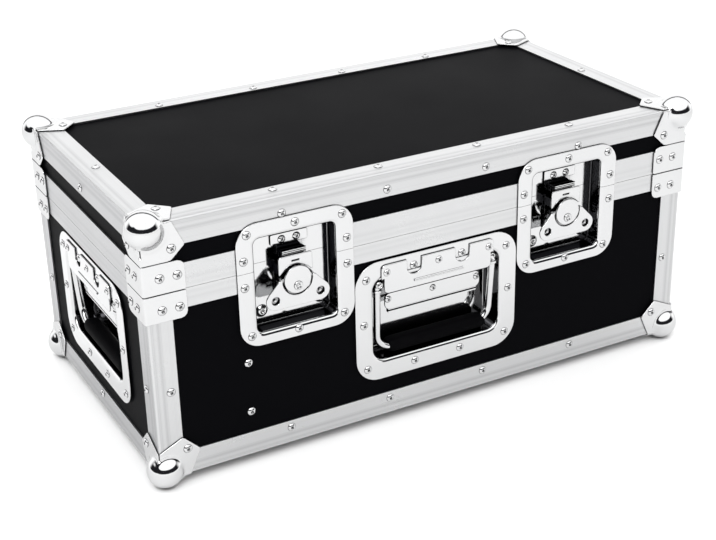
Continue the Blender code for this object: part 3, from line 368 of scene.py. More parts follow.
def softCopy(node, width):  # a CAD node's merged copy with soft edges
    copy = bmesh.new()
    copy.from_mesh(frame["nodes"][node].data)
    bmesh.ops.remove_doubles(copy, verts=copy.verts, dist=0.01 * mm)
    bmesh.ops.dissolve_limit(copy, angle_limit=math.radians(0.6), verts=copy.verts, edges=copy.edges)
    edges = {"width": width, "segments": 2, "limit_method": "ANGLE", "angle_limit": math.radians(32)}
    return polished(settled(modified(shapeOf(finished(copy)), "BEVEL", **edges)), 50)


def addPiece(name, mesh, material, body, replaced=()):
    mesh.name = name
    mesh.materials.clear()
    mesh.materials.append(material)
    piece = shapeOf(mesh, name)
    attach(piece, body)
    if replaced:
        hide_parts(*replaced)


def softPiece(node, width, material, body):
    name = node.replace("_", " ").title().replace(" ", "")
    addPiece(name, softCopy(node, width), material, body, [node])


def repaint(nodes, material):
    for node in nodes:
        for holder in frame["nodes"][node].material_slots:
            holder.material = material


def placed(mesh, holder, up=0.0):
    copy = mesh.copy()
    copy.transform(holder @ Matrix.Translation((0, 0, up * mm)))
    return copy


# Outlines are (across, up) points in mm, seen from the front, or (inward, up) seen from the side
faceView = Matrix(((1, 0, 0, 0), (0, 0, -1, 0), (0, 1, 0, 0), (0, 0, 0, 1)))
sideView = Matrix(((0, 0, 1, 0), (1, 0, 0, 0), (0, 1, 0, 0), (0, 0, 0, 1)))


def bend(before, here, after, radius, steps):  # the round that takes a corner's place
    before, after = (before - here).normalized(), (after - here).normalized()
    half = before.angle(after) / 2
    middle = here + (before + after).normalized() * (radius / math.sin(half))
    start = here + before * (radius / math.tan(half)) - middle
    finish = here + after * (radius / math.tan(half)) - middle
    sweep = start.angle(finish)
    points = []
    for step in range(steps + 1):
        share = step / steps
        spread = start * math.sin((1 - share) * sweep) + finish * math.sin(share * sweep)
        points.append(middle + spread / math.sin(sweep))
    return points


def softened(corners, radii, steps=6):  # a closed outline with its corners rounded
    if not isinstance(radii, list):
        radii = [radii] * len(corners)
    corners = [Vector(corner) for corner in corners]
    outline = []
    for index, here in enumerate(corners):
        after = corners[(index + 1) % len(corners)]
        outline += bend(corners[index - 1], here, after, radii[index], steps) if radii[index] else [here]
    return [tuple(point) for point in outline]


def softBox(left, right, low, high, radius, steps=6):
    return softened([(left, low), (right, low), (right, high), (left, high)], radius, steps)


def mirrored(points):
    return [(-across, up) for across, up in reversed(points)]


def arc(middle, radius, start, finish, steps=24):
    turns = [math.radians(start + (finish - start) * step / steps) for step in range(steps + 1)]
    return [(middle[0] + radius * math.cos(turn), middle[1] + radius * math.sin(turn)) for turn in turns]


def bentPath(corners, radii, steps=12):  # a line along points, with rounds at the inner ones
    spots = [Vector(corner) for corner in corners]
    path = spots[:1]
    for index, radius in enumerate(radii):
        path += bend(*spots[index:index + 3], radius, steps)
    return path + spots[-1:]


def newCurve(kind, lines, radius, resolution):  # closed lines where it is flat
    curve = bpy.data.curves.new("outline", "CURVE")
    curve.dimensions = kind
    curve.bevel_depth = radius * mm
    curve.bevel_resolution = resolution
    for line in lines:
        spline = curve.splines.new("POLY")
        spline.points.add(len(line) - 1)
        spline.use_cyclic_u = kind == "2D"
        for point, spot in zip(spline.points, line):
            point.co = (*(size * mm for size in (*spot, 0)[:3]), 1)
    return curve


def stamped(outline, near, far, view=faceView, holes=(), edge=0.35):  # a plate with rounded edges
    curve = newCurve("2D", (outline, *holes), edge, 2)
    curve.fill_mode = "BOTH"
    curve.extrude = ((far - near) / 2 - edge) * mm
    curve.offset = -edge * mm
    middle = (near + far) / 2 * mm
    shape = shapeOf(curve)
    along = (0, middle, 0) if view is faceView else (middle, 0, 0)
    shape.matrix_world = Matrix.Translation(along) @ view
    return tidied(settled(shape))


def tube(path, radius, sides=6):  # a round bar along points
    curve = newCurve("3D", [path], radius, sides)
    curve.use_fill_caps = True
    return tidied(settled(shapeOf(curve)))


def lofted(rings, ends=(0, -1), closed=False):  # a skin over rings of points, each ring closed
    shell = bmesh.new()
    made = [[shell.verts.new(spot * mm) for spot in ring] for ring in rings]
    if closed:
        made.append(made[0])
    for first, second in zip(made, made[1:]):
        count = max(len(first), len(second))
        for side in range(count):
            after = (side + 1) % count
            loop = [first[side % len(first)], first[after % len(first)]]
            loop += [second[after % len(second)], second[side % len(second)]]
            corners = list(dict.fromkeys(loop))
            if len(corners) > 2:
                shell.faces.new(corners)
    for end in ends:
        if len(made[end]) > 1:
            shell.faces.new(made[end])
    bmesh.ops.recalc_face_normals(shell, faces=shell.faces)
    return finished(shell)


def turnedBar(start, finish, profile, sides=40):  # the profile holds (along, radius)
    start = Vector(start)
    facing = (Vector(finish) - start).to_track_quat("Z", "Y").to_matrix()
    bored = profile[0] == profile[-1]  # a profile that comes back to its start leaves a bore
    rings = []
    for along, radius in profile[:-1] if bored else profile:
        turns = [2 * math.pi * side / sides for side in range(sides if radius else 1)]
        spots = [Vector((radius * math.cos(turn), radius * math.sin(turn), along)) for turn in turns]
        rings.append([facing @ spot + start for spot in spots])
    return lofted(rings, () if bored else (0, -1), bored)


def roundProfile(length, radius, edge=0.4):
    rise = [(0, 0), (0, radius - edge), (edge * 0.3, radius - edge * 0.3), (edge, radius)]
    return rise + [(length - along, reach) for along, reach in reversed(rise)]


# A pressed dish: rim, creased and rounded lip, drafted wall, rounded foot and flat floor
def pressedDish(dish):
    face, lip, foot, crease = (dish[key] for key in ("face", "lip", "foot", "crease"))
    rings = []

    def ring(box, corner, inset, inward):  # a box's outline, moved in by the inset
        left, right, low, high = box
        sides = (left + inset, right - inset, low + inset, high - inset)
        outline = softBox(*sides, max(corner - inset, 0.4), 9)
        rings.append([Vector((across, inward, up)) for across, up in outline])

    for inset, drop in ((0, 0.9), (0, 0.45), (0.13, 0.13), (0.45, 0)):
        ring(dish["flange"], dish["corner"], inset, face + drop)
    well = (dish["well"], dish["wellCorner"])
    tilt, draft = math.radians(dish["tilt"]), math.radians(dish["draft"])
    start = lip * math.sin(tilt) - lip
    sink = crease * math.tan(tilt) - lip * (1 - math.cos(tilt))
    for share in (1.04, 1.0, 0.94, 0.06):  # a slight slope into the lip
        ring(*well, start - crease * share, face + max(0, crease * (1 - share) * math.tan(tilt)))
    for step in range(10):  # the lip, from the slope to the wall
        turn = tilt + (math.pi / 2 - draft - tilt) * step / 9
        ring(*well, lip * math.sin(turn) - lip, face + sink + lip * (1 - math.cos(turn)))
    bottom = dish["depth"] - foot
    inset = (bottom - face - lip - sink) * math.tan(draft)
    for step in range(7):
        turn = math.pi / 2 * step / 6
        ring(*well, inset + foot * (1 - math.cos(turn)), bottom + foot * math.sin(turn))
    mesh = lofted(rings, [-1])
    floor = max(mesh.polygons, key=lambda each: len(each.vertices))
    if floor.normal.y > 0:
        mesh.flip_normals()
    return mesh


def walled(mesh, sheet=1.2):  # a sheet's thickness behind its face
    wall = {"thickness": sheet * mm, "offset": -1, "use_even_offset": False}
    return settled(modified(shapeOf(mesh), "SOLIDIFY", **wall))


def halved(mesh, level, keepUpper):  # cut across at a height
    shell = bmesh.new()
    shell.from_mesh(mesh)
    bmesh.ops.bisect_plane(
        shell, geom=shell.faces[:] + shell.edges[:] + shell.verts[:],
        plane_co=(0, 0, level * mm), plane_no=(0, 0, 1), clear_outer=not keepUpper, clear_inner=keepUpper,
    )
    return finished(shell)


latch = {  # heights of the dish are from the closing line, depths from the case's front
    "flange": (-53.5, 53.5, -68.3, 42.4),
    "well": (-37.5, 37.5, -57.2, 28.0),
    "corner": 19.0,
    "wellCorner": 6.0,
    "face": -1.5,
    "depth": 13.1,
    "draft": 1.5,
    "lip": 2.4,
    "crease": 1.3,  # the sloped line round the well, and its slope in degrees
    "tilt": 19.0,
    "foot": 1.6,
    "keeper": (-17, 17, 13.0, 22.5),
    "keeperLip": 11.5,
    "pivot": -20.6,
    "plate": (-15.5, 15.5, -15.5, 20.3),  # this and what follows are about the pivot
    "coverArc": 17.6,
    "coverTop": 26.6,
    "coverHalf": 15.5,
    "coverWall": 1.5,
    "mark": (-3.6, 3.6, 20.9, 22.1),
    "lobe": (20.8, -10.0, 8.5),  # across, up and radius
    "lobeHole": 3.8,
    "cap": 12.2,
    "capGap": 1.8,  # round the cap, to the mouth of the wing
    "capUp": 5.4,
    "eccentric": (-4.6, 6.5),  # up and radius
    "hingePin": (-0.6, 6.0),  # inward and up
    "hookHalf": 11.0,
    "hookSlot": (-11.6, 11.6, -12.4, 3.2),
    "ridges": 3,
    "ridgeFrom": 26.7,
    "ridgeSpan": 4.4,
}


def latchDishes():
    upper = walled(halved(pressedDish(latch), 0.3, True))
    lower = walled(halved(pressedDish(latch), 0.0, False))
    plate = stamped(softBox(*latch["keeper"], 1.5), 11.5, 12.7)
    back = [(12.9, 21.5), (12.2, 21.5), (12.2, 4.6)]
    front = [(9.7, 4.6), (9.7, 7.7), (8.2, 7.7), (8.2, 3.0), (12.9, 3.0)]
    lip = softened(back + front, [0, 0, 0.4, 0.6, 0.7, 0.7, 1.4, 0], 4)
    half = latch["keeperLip"]
    return gathered([upper, plate, stamped(lip, -half, half, sideView, edge=0.25)]), lower


def latchBackPlate():
    half, wall = latch["coverHalf"], latch["coverWall"]
    reach, top = latch["coverArc"], latch["coverTop"]
    meshes = [stamped(softBox(*latch["plate"], 1.5), 11.6, 12.8)]
    swing = math.degrees(math.asin((half - wall) / reach))
    cover = arc((0, 0), reach, 90 - swing, 90 + swing)
    foot = cover[0][1]
    cover += softened([(-half, foot), (-half, top), (half, top), (half, foot)], [0.01, 2.5, 2.5, 0.01])
    mark = softBox(*latch["mark"], 0.55, 4)
    meshes.append(stamped(cover, 0.4, 1.8, holes=[mark], edge=0.55))
    for side in (-1, 1):
        near, far = sorted((side * (half - wall), side * half))
        meshes.append(stamped(softBox(1.0, 12.2, foot + 0.3, 19.3, 0.4), near, far, sideView, edge=0.2))
    stud = [
        (0, 0), (0, 2.9), (15.6, 2.9), (15.7, 3.9), (16.1, 4.0), (16.6, 3.7), (16.8, 3.2),
        (16.7, 2.6), (16.2, 2.2), (16.1, 1.7), (16.6, 1.2), (16.8, 0),
    ]
    meshes.append(turnedBar((0, 12.4, 0), (0, -1, 0), stud))
    return gathered(meshes)


def latchCap():
    radius, up = latch["cap"], latch["capUp"]
    crown = [
        (0, 0), (0, radius - 0.6), (0.2, radius - 0.15), (0.6, radius), (1.5, radius), (1.8, radius - 0.12),
        (1.95, radius - 0.5), (2.0, radius * 0.75), (2.05, radius * 0.4), (2.06, 0),
    ]
    low, wide = latch["eccentric"]
    inward, high = latch["hingePin"]
    return gathered([
        turnedBar((0, -1.2, up), (0, -2, up), crown, 72),
        turnedBar((0, -1.1, 0), (0, 2, 0), roundProfile(2.9, 10.0)),
        turnedBar((0, 1.7, low), (0, 9, low), roundProfile(7.1, wide)),
        stamped(softBox(-1.4, 0.9, 4.2, 7.8, 0.5, 3), -13.4, 13.4, sideView, edge=0.25),
        turnedBar((-15.4, inward, high), (15.4, inward, high), roundProfile(30.8, 1.2, 0.3), 20),
    ])


def latchWing():
    across, up, radius = latch["lobe"]
    inward, high = latch["hingePin"]
    mouth = latch["cap"] + latch["capGap"]
    right = arc((across, up), radius, -90, 45, 15)
    right += [(17.6, 5.6), (17.3, 6.3), (16.6, 6.7), (15.4, 7.0), (15.3, 7.6), (mouth, 7.7)]
    bowl = arc((0, latch["capUp"]), mouth, 0, -180, 40)
    holes = [arc((side * across, up), latch["lobeHole"], 0, 345, 23) for side in (-1, 1)]
    meshes = [stamped(right + bowl + mirrored(right), -2.6, -0.8, holes=holes, edge=0.5)]
    pin = [(0, 0), (0.1, 0.8), (0.5, 1.3), (2.0, 1.4), (2.0, 5.2), (2.6, 5.2), (2.6, 0)]
    knuckle = roundProfile(1.4, 2.0, 0.35)
    for side in (-1, 1):
        meshes.append(turnedBar((side * across, -2.2, up), (side * across, 0, up), pin, 28))
        meshes.append(turnedBar((side * 13.8, inward, high), (side * 15.2, inward, high), knuckle, 24))
    return gathered(meshes)


def latchHook():
    half, pitch = latch["hookHalf"], latch["ridgeSpan"] / latch["ridges"]
    ridge = ((2.8, 0), (2.5, 0.12), (2.5, 0.58), (2.8, 0.68), (3.7, 0.72), (3.7, 0.98))
    profile = [(4.9, 29.6), (4.9, 26.5)]
    for index in range(latch["ridges"]):  # ridges across the lip, for the fingers
        profile += [(inward, latch["ridgeFrom"] + pitch * (index + share)) for inward, share in ridge]
    profile += [(3.1, 30.9), (11.5, 30.0), (11.5, 26.7), (10.5, 26.7), (10.5, 29.1)]
    right = [(13.4, -15.4), (13.4, 7.2), (10.6, 7.2), (10.6, 31.0)]
    outline = softened(right + mirrored(right), [1.8, 1.8, 0.8, 0.3, 0.3, 0.8, 1.8, 1.8])
    slot = softBox(*latch["hookSlot"], 1.5)
    lip = stamped(profile, -half, half, sideView, edge=0.1)
    return gathered([lip, stamped(outline, 6.25, 7.75, holes=[slot], edge=0.2)])


handle = {  # heights are from the dish's middle, depths from the case's face
    "flange": (-82.5, 82.5, -57.15, 57.15),
    "well": (-65.0, 65.0, -38.9, 41.0),
    "corner": 23.0,
    "wellCorner": 12.0,
    "face": -0.9,
    "depth": 21.0,
    "draft": 1.0,
    "lip": 2.2,
    "crease": 1.1,
    "tilt": 19.0,
    "foot": 4.0,
    "plateHalf": 54.2,  # the hinge plate, and its shoulders on the rim
    "shoulderHalf": 57.0,
    "plateHeights": (26.0, 40.0, 53.0),
    "pocket": (24.5, 46.0, 7.5),  # across, up and radius
    "bead": (32.4, 1.2),  # up and radius
    "stopPlate": (-49, 49, 4.4, 20.2),
    "stopDepth": (7.6, 9.1),
    "barrel": (47.7, 52.7),
    "pivot": (3.0, 34.5),  # inward and up
    "axle": 48.0,
    "rod": 3.2,
    "arm": 58.0,
    "drop": 65.5,
    "lean": 4.0,
    "splay": 1.2,  # how much wider the bail is at its pivots
    "eyeIn": 1.6,  # the eyes and the cuffs, in from there
    "cuffIn": 0.2,
    "grip": (-47.5, 54.0),  # the sleeve has slid along the rod
    "gripDepth": (2.0, 17.4),
    "gripHeight": (-6.4, 6.6),  # about the rod
    "gripEnd": 9.0,  # the length that its rounded ends take
}


def hingePlate():
    half, wide, corner = handle["plateHalf"], handle["shoulderHalf"], 4.0
    foot, step, top = handle["plateHeights"]
    right = [(half, foot), (half, step), (wide, step), (wide, top)]
    plate = softened(right + mirrored(right), [corner, 0.01, 0.01, corner, corner, 0.01, 0.01, corner])
    across, up, radius = handle["pocket"]
    pocket = []
    for middle in (across, -across):  # round-ended pockets let the flange's own rivets show
        pocket += [(middle + radius, top), *arc((middle, up), radius, 0, -180, 18), (middle - radius, top)]
    last = max(index for index, spot in enumerate(plate) if spot[1] > top - 0.01 and spot[0] > 0)
    level, rise = handle["bead"]
    bead = [(spot, -2.55, level) for spot in range(-25, 26, 2)]
    return [stamped(plate[:last + 1] + pocket + plate[last + 1:], -2.6, -0.95, edge=0.6), tube(bead, rise, 5)]


def handleDish():
    meshes = [walled(pressedDish(handle)), *hingePlate()]
    meshes.append(stamped(softBox(*handle["stopPlate"], 5.5), *handle["stopDepth"], edge=0.5))
    gutter = [(7.7, 5.2), (7.7, 4.0), (10.6, 4.0), (10.6, 2.4)]
    gutter += [(7.9, 2.4), (7.9, 1.2), (11.4, 1.2), (11.4, 5.2)]
    meshes.append(stamped(gutter, -45.5, 45.5, sideView, edge=0.15))  # the folded lower edge
    meshes.append(stamped(softBox(8.4, 21.5, 19.5, 20.8, 0.3), -41, 41, sideView, edge=0.2))
    inward, up = handle["pivot"]
    near, far = handle["barrel"]
    curl = [(0, 3.5), (0, 4.3), (0.3, 4.7), (4.7, 4.7), (5, 4.3), (5, 3.5), (0, 3.5)]
    for side in (-1, 1):
        meshes.append(turnedBar((side * near, inward, up), (side * far, inward, up), curl, 32))
    return gathered(meshes)


def handleBail():
    inward, up = handle["pivot"]
    arm, wide = handle["arm"], handle["arm"] + handle["splay"]
    foot = (arm, inward + handle["lean"], up - handle["drop"])
    right = [foot, (wide, inward, up), (handle["axle"], inward, up)]
    left = [(-across, *rest) for across, *rest in reversed(right)]
    meshes = [tube(bentPath(left + right, [5, 15, 15, 5]), handle["rod"])]
    eye = [
        (3.0, 0), (2.8, 1.6), (0.9, 1.9), (0.15, 2.3), (0, 2.7), (0.5, 3.5),
        (1.5, 4.0), (2.8, 4.2), (4.4, 3.9), (6.0, 2.8), (6.6, 0),
    ]
    cuff = roundProfile(2.4, 3.9)
    for side in (-1, 1):  # forged eyes at the elbows, with a cuff below
        middle, under = side * (wide - handle["eyeIn"]), side * (wide - handle["cuffIn"])
        meshes.append(turnedBar((middle, inward - 3.2, up - 0.8), (middle, inward, up - 0.8), eye, 32))
        meshes.append(turnedBar((under, inward, up - 5.4), (under, inward, up - 9), cuff, 32))
    return gathered(meshes)


def rubberGrip():  # a sleeve lofted along the rod, of a squared-off round section that narrows towards its ends
    left, right = handle["grip"]
    near, far = handle["gripDepth"]
    low, high = handle["gripHeight"]
    level = handle["pivot"][1] - handle["drop"]
    stations, sides = 48, 40
    rings = []
    for step in range(stations + 1):
        share = math.sin((-1 + 2 * step / stations) * math.pi / 2)
        along = (left + right) / 2 + (right - left) / 2 * share
        past = max(0.0, 1 - min(along - left, right - along) / handle["gripEnd"])
        grow = 0.55 + 0.45 * math.sqrt(max(0.0, 1 - past ** 2.6))
        ring = []
        for side in range(sides):
            turn = 2 * math.pi * side / sides
            parts = (math.cos(turn), math.sin(turn))
            depth, rise = (math.copysign(abs(part) ** 0.75, part) for part in parts)
            inward = (near + far) / 2 + depth * (far - near) / 2 * grow
            ring.append(Vector((along, inward, level + (low + high) / 2 + rise * (high - low) / 2 * grow)))
        rings.append(ring)
    return tidied(lofted(rings))


def newTree(name, labels, onPoints=False):  # a node tree with named sizes and a finish
    tree = bpy.data.node_groups.new(name, "GeometryNodeTree")
    sockets = [("Geometry", "Geometry")] if onPoints else []
    for label, kind in sockets + [(label, "Float") for label in labels] + [("Finish", "Material")]:
        tree.interface.new_socket(name=label, in_out="INPUT", socket_type="NodeSocket" + kind)
    tree.interface.new_socket(name="Geometry", in_out="OUTPUT", socket_type="NodeSocketGeometry")
    graph = Graph(tree)
    given = graph.add("NodeGroupInput")
    return tree, graph, given, [given.also(label) for label in labels]


def endTree(graph, given, mesh):
    painted = graph.add("GeometryNodeSetMaterial", {}, {"Geometry": mesh, "Material": given.also("Finish")})
    graph.add("NodeGroupOutput", {}, {0: painted})


# Rivets: domed heads with a sunk mandrel, set on points that carry their facing
rivet = {
    "head": 3.9 * mm,
    "rise": 2.0 * mm,
    "hole": 0.36,  # share of the head's radius
    "holeFloor": 0.12,  # share of the head's rise
    "holeRings": 3,  # of the rings, these make the floor of the hole
    "rings": 9,
    "sides": 20,
}


def rivetTree():
    tree, graph, given, (head, rise, hole) = newTree("rivetHeads", ("Head", "Rise", "Hole"), True)
    sizes = {"Vertices": rivet["sides"], "Side Segments": rivet["rings"]}
    sizes.update({"Radius Bottom": head, "Depth": rise})
    cone = graph.add("GeometryNodeMeshCone", {"fill_type": "NGON"}, sizes)
    x, y, z = graph.add("GeometryNodeInputPosition").parts()
    ringAt = ((x ** 2 + y ** 2) ** 0.5) / head
    step, sunk = 1 / rivet["rings"], rivet["holeRings"]
    inside = ringAt * (hole * (0.95 / (sunk * step)))
    outside = 1 - (1 - ringAt) * ((1 - hole * 1.05) / (1 - (sunk + 1) * step))
    past = ringAt.over((sunk + 0.4) * step, (sunk + 0.6) * step)
    reach = inside + (outside - inside) * past
    stretch = reach / ringAt.most(0.01)
    spread = rivet["head"] / rivet["rise"]
    bulge = (1 + spread ** 2) / 2  # the dome's own radius, in rises
    dome = ((bulge ** 2 - (reach * spread) ** 2).most(0) ** 0.5 - (bulge - 1)).most(0)
    height = rise * (dome * past + (1 - past) * rivet["holeFloor"])
    spun = graph.add("ShaderNodeCombineXYZ", {}, {0: x * stretch, 1: y * stretch, 2: height})
    shaped = graph.add("GeometryNodeSetPosition", {}, {"Geometry": cone, "Position": spun})
    facing = graph.add("GeometryNodeInputNamedAttribute", {"data_type": "FLOAT_VECTOR"}, {"Name": "facing"})
    turned = graph.add("FunctionNodeAlignRotationToVector", {"axis": "Z"}, {"Vector": facing})
    size = graph.add("GeometryNodeInputNamedAttribute", {"data_type": "FLOAT"}, {"Name": "size"})
    links = {"Points": given, "Instance": shaped, "Rotation": turned, "Scale": size}
    heads = graph.add("GeometryNodeInstanceOnPoints", {}, links)
    real = graph.add("GeometryNodeRealizeInstances", {}, {0: heads})
    smooth = graph.add("GeometryNodeSetShadeSmooth", {}, {"Geometry": real})
    endTree(graph, given, smooth)
    return tree


def rivetPiece(name, spots, tree, material, body):  # spots hold place, facing and size
    mesh = bpy.data.meshes.new(name)
    mesh.from_pydata([spot[0] for spot in spots], [], [])
    mesh.attributes.new("facing", "FLOAT_VECTOR", "POINT")
    mesh.attributes.new("size", "FLOAT", "POINT")
    for index, spot in enumerate(spots):
        mesh.attributes["facing"].data[index].vector = spot[1]
        mesh.attributes["size"].data[index].value = spot[2]
    sizes = {"Head": rivet["head"], "Rise": rivet["rise"], "Hole": rivet["hole"], "Finish": material}
    addPiece(name, grown(mesh, tree, sizes), material, body)


# Ball corners: a field of distances from the case's corner, meshed where it crosses zero
ball = {
    "radius": 15.9 * mm,
    "inset": 6.5 * mm,
    "outer": -1.5 * mm,  # face of the plates
    "inner": -0.3 * mm,
    "near": 26.0 * mm,
    "short": 22.0 * mm,
    "long": 37.0 * mm,
    "round": 2.4 * mm,  # corners of the plates
    "collar": 4.0 * mm,  # fillet between the ball and the plates
    "ridge": 18.4 * mm,  # a low ridge on the plates, this far from the ball's middle
    "ridgeRise": 0.5 * mm,
    "slitFrom": 21.5 * mm,
    "slitTo": 25.5 * mm,
    "slit": 1.8 * mm,
    "field": (-12 * mm, 40 * mm),
    "cell": 0.5 * mm,
    "lidDrop": 34.0 * mm,
}


def cornerTree():
    labels = ("Radius", "Inset", "Near", "Short", "Long", "Drop", "Collar")
    tree, graph, given, (radius, inset, near, short, long, drop, collar) = newTree("ballCorner", labels)
    x, y, z = graph.add("GeometryNodeInputPosition").parts()
    outer, inner, soft = ball["outer"], ball["inner"], ball["round"]

    def along(first, second, start, finish):  # distance outside the line from start to finish
        run, rise = finish[0] - start[0], finish[1] - start[1]
        length = (run ** 2 + rise ** 2) ** 0.5
        return ((first - start[0]) * rise - (second - start[1]) * run) / length

    def flangePlate(first, second, depth, taper, end, foot):
        cornerOne, cornerTwo = (long, short), (short + taper, end)
        shape = along(first, second, (near, outer), cornerOne)
        shape = shape.rounded(along(first, second, cornerOne, cornerTwo), soft)
        shape = shape.rounded(along(first, second, cornerTwo, (outer, foot)), soft)
        edges = (outer - first).rounded(outer - second, soft)
        return shape.most(edges).rounded((outer - depth).most(depth - inner), 0.5 * mm)

    tallPlate = (drop - near).over(0.0, 1 * mm)  # the lid's side plates run down to the braces
    tail = ((drop - near) * 0.25, drop + (long - drop) * (1 - tallPlate), drop)
    plates = flangePlate(x, y, z, 0, long, near)
    plates = plates.melted(flangePlate(x, z, y, *tail), 0.6 * mm)
    plates = plates.melted(flangePlate(y, z, x, *tail), 0.6 * mm)
    middle = ((x - inset) ** 2 + (y - inset) ** 2 + (z - inset) ** 2) ** 0.5
    ridge = 1 - abs(middle - ball["ridge"]).over(0.15 * mm, 1.0 * mm)
    body = (middle - radius).melted(plates - ridge * ball["ridgeRise"], collar)
    slitMiddle, slitHalf = (ball["slitFrom"] + ball["slitTo"]) / 2, (ball["slitTo"] - ball["slitFrom"]) / 2
    for first, second, third in ((x, y, z), (y, z, x), (z, x, y)):  # relief slits along the edges
        past = abs(third - slitMiddle) - slitHalf
        slit = ((first - outer) ** 2 + (second - outer) ** 2 + past.most(0) ** 2) ** 0.5 - ball["slit"]
        body = body.rounded(0 - slit, 0.3 * mm)
    body = body.most((x - inner).least(y - inner).least(z - inner))
    low, high = ball["field"]
    sizes = {"Density": 0 - body, "Background": -1.0, "Min": (low, low, low), "Max": (high, high, high)}
    for axis in "XYZ":
        sizes["Resolution " + axis] = round((high - low) / ball["cell"])
    volume = graph.add("GeometryNodeVolumeCube", {}, sizes)
    cut = {"Volume": volume, "Threshold": 0.0}
    skin = graph.add("GeometryNodeVolumeToMesh", {"resolution_mode": "GRID"}, cut)
    endTree(graph, given, skin)
    return tree


def ballCorner(tree, drop, material):
    sizes = {key.title(): ball[key] for key in ("radius", "inset", "near", "short", "long", "collar")}
    sizes.update({"Drop": drop, "Finish": material})
    shape = shapeOf(grown(bpy.data.meshes.new("seed"), tree, sizes))
    even = modified(shape, "SMOOTH", factor=0.5, iterations=8)
    mesh = tidied(settled(modified(even, "DECIMATE", ratio=0.5)), 0.01)
    mesh.shade_smooth()
    mesh.set_sharp_from_angle(angle=math.radians(60))
    return mesh


def holderAt(across, along, height, quarters=0):  # a place on the case, turned by quarters
    return Matrix.Translation((across, along, height)) @ Matrix.Rotation(quarters * math.pi / 2, 4, "Z")


latchHolders = {
    "left": holderAt(-case["latchOffset"], -halfWidth, case["parting"]),
    "right": holderAt(case["latchOffset"], -halfWidth, case["parting"]),
}
handleHolders = {
    "front": holderAt(0, -halfWidth, case["handleMiddle"]),
    "left": holderAt(-halfLength, 0, case["handleMiddle"], -1),
    "right": holderAt(halfLength, 0, case["handleMiddle"], 1),
}
rivetPlaces = {  # in mm
    "edging": (-147.3, -49.1, 49.1, 147.3),  # along the long runs
    "inset": 15.4,
    "uprightHeight": 90.6,
    "cornerLid": (25.2, 23.5, 24.5),  # across and down on the sides, and in from them on top
    "cornerBase": (25.2, 25.2, 25.2),
    "brace": (13.4, 28.4),
    "braceLid": 194.4,
    "braceBase": 166.4,
    "braceOut": 1.8,
    "hinge": (126.0, 150.0, 174.0),
    "hingeLid": 191.8,
    "hingeBase": 169.3,
    "hingeOut": 1.7,
    "latchLid": ((-43.4, 33.6), (43.4, 33.6), (0, 36), (-47.3, 11.1), (47.3, 11.1)),
    "keeper": ((-6.8, 17.3), (6.8, 17.3)),
    "latchFloor": ((-27.5, -44), (27.5, -44)),
    "latchBase": ((-43.4, -57.7), (43.4, -57.7), (0, -61.2), (-47.3, -12.6), (47.3, -12.6)),
    "handleRim": ((71.5, 42.2), (71.5, -44.4), (74.4, -0.4), (23.6, -48), (24.5, 46)),  # on both sides
    "hingePlate": ((-52, 46), (0, 46), (52, 46)),
    "stopPlate": ((-45.6, 14.6), (0, 14.6), (45.6, 14.6)),
    "divider": -183.2,
    "dividerHeights": (97.1, 50.5),
    "dividerIn": 1.8,
}


def cornerPlace(turn):  # the turn counts quarters from the front left
    return (halfLength if turn in (1, 2) else -halfLength), (halfWidth if turn in (2, 3) else -halfWidth)


def fourCorners(spots):  # from the front left corner to all four
    result = []
    for place, facing, size in spots:
        for turn in range(4):
            spun = Matrix.Rotation(turn * math.pi / 2, 3, "Z")
            corner = Vector((*cornerPlace(turn), 0))
            result.append((spun @ Vector(place) + corner, spun @ Vector(facing), size))
    return result


def onHolder(holder, points, depth, size=1.0):  # rivets on a front, carried to its place
    facing = holder.to_3x3() @ Vector((0, -1, 0))
    places = [Vector((across, depth, up)) * mm for across, up in points]
    return [(holder @ place, facing, size) for place in places]


def edgingSpots(level, down):  # on both faces of a frame; down is 1 for the lid and -1 for the base
    inset = rivetPlaces["inset"] * mm
    spots = []
    for side in (-1, 1):
        for across in rivetPlaces["edging"]:
            spots.append(((across * mm, side * halfWidth, level - down * inset), (0, side, 0), 1))
            spots.append(((across * mm, side * (halfWidth - inset), level), (0, 0, down), 1))
        spots.append(((side * halfLength, 0, level - down * inset), (side, 0, 0), 1))
        spots.append(((side * (halfLength - inset), 0, level), (0, 0, down), 1))
    return spots


def cornerSpots(level, down, places, braceLevel):  # on the corners' plates and the braces
    across, up, far = places
    plate, brace, bigger = ball["outer"], -rivetPlaces["braceOut"] * mm, 1.05
    inward, height = across * mm, level - down * up * mm
    spots = [
        ((far * mm, far * mm, level - down * plate), (0, 0, down), 1),
        ((inward, plate, height), (0, -1, 0), bigger),
        ((plate, inward, height), (-1, 0, 0), bigger),
    ]
    for inward in rivetPlaces["brace"]:
        spots.append(((inward * mm, brace, braceLevel * mm), (0, -1, 0), bigger))
        spots.append(((brace, inward * mm, braceLevel * mm), (-1, 0, 0), bigger))
    return fourCorners(spots)


def hingeSpots(height):  # on the leaves at the back
    out = halfWidth + rivetPlaces["hingeOut"] * mm
    places = [side * across * mm for side in (-1, 1) for across in rivetPlaces["hinge"]]
    return [((across, out, height * mm), (0, 1, 0), 0.85) for across in places]


def lidSpots():
    spots = edgingSpots(case["top"], 1)
    spots += cornerSpots(case["top"], 1, rivetPlaces["cornerLid"], rivetPlaces["braceLid"])
    spots += hingeSpots(rivetPlaces["hingeLid"])
    for holder in latchHolders.values():
        spots += onHolder(holder, rivetPlaces["latchLid"], latch["face"])
        spots += onHolder(holder, rivetPlaces["keeper"], 11.6, 0.95)
    return spots


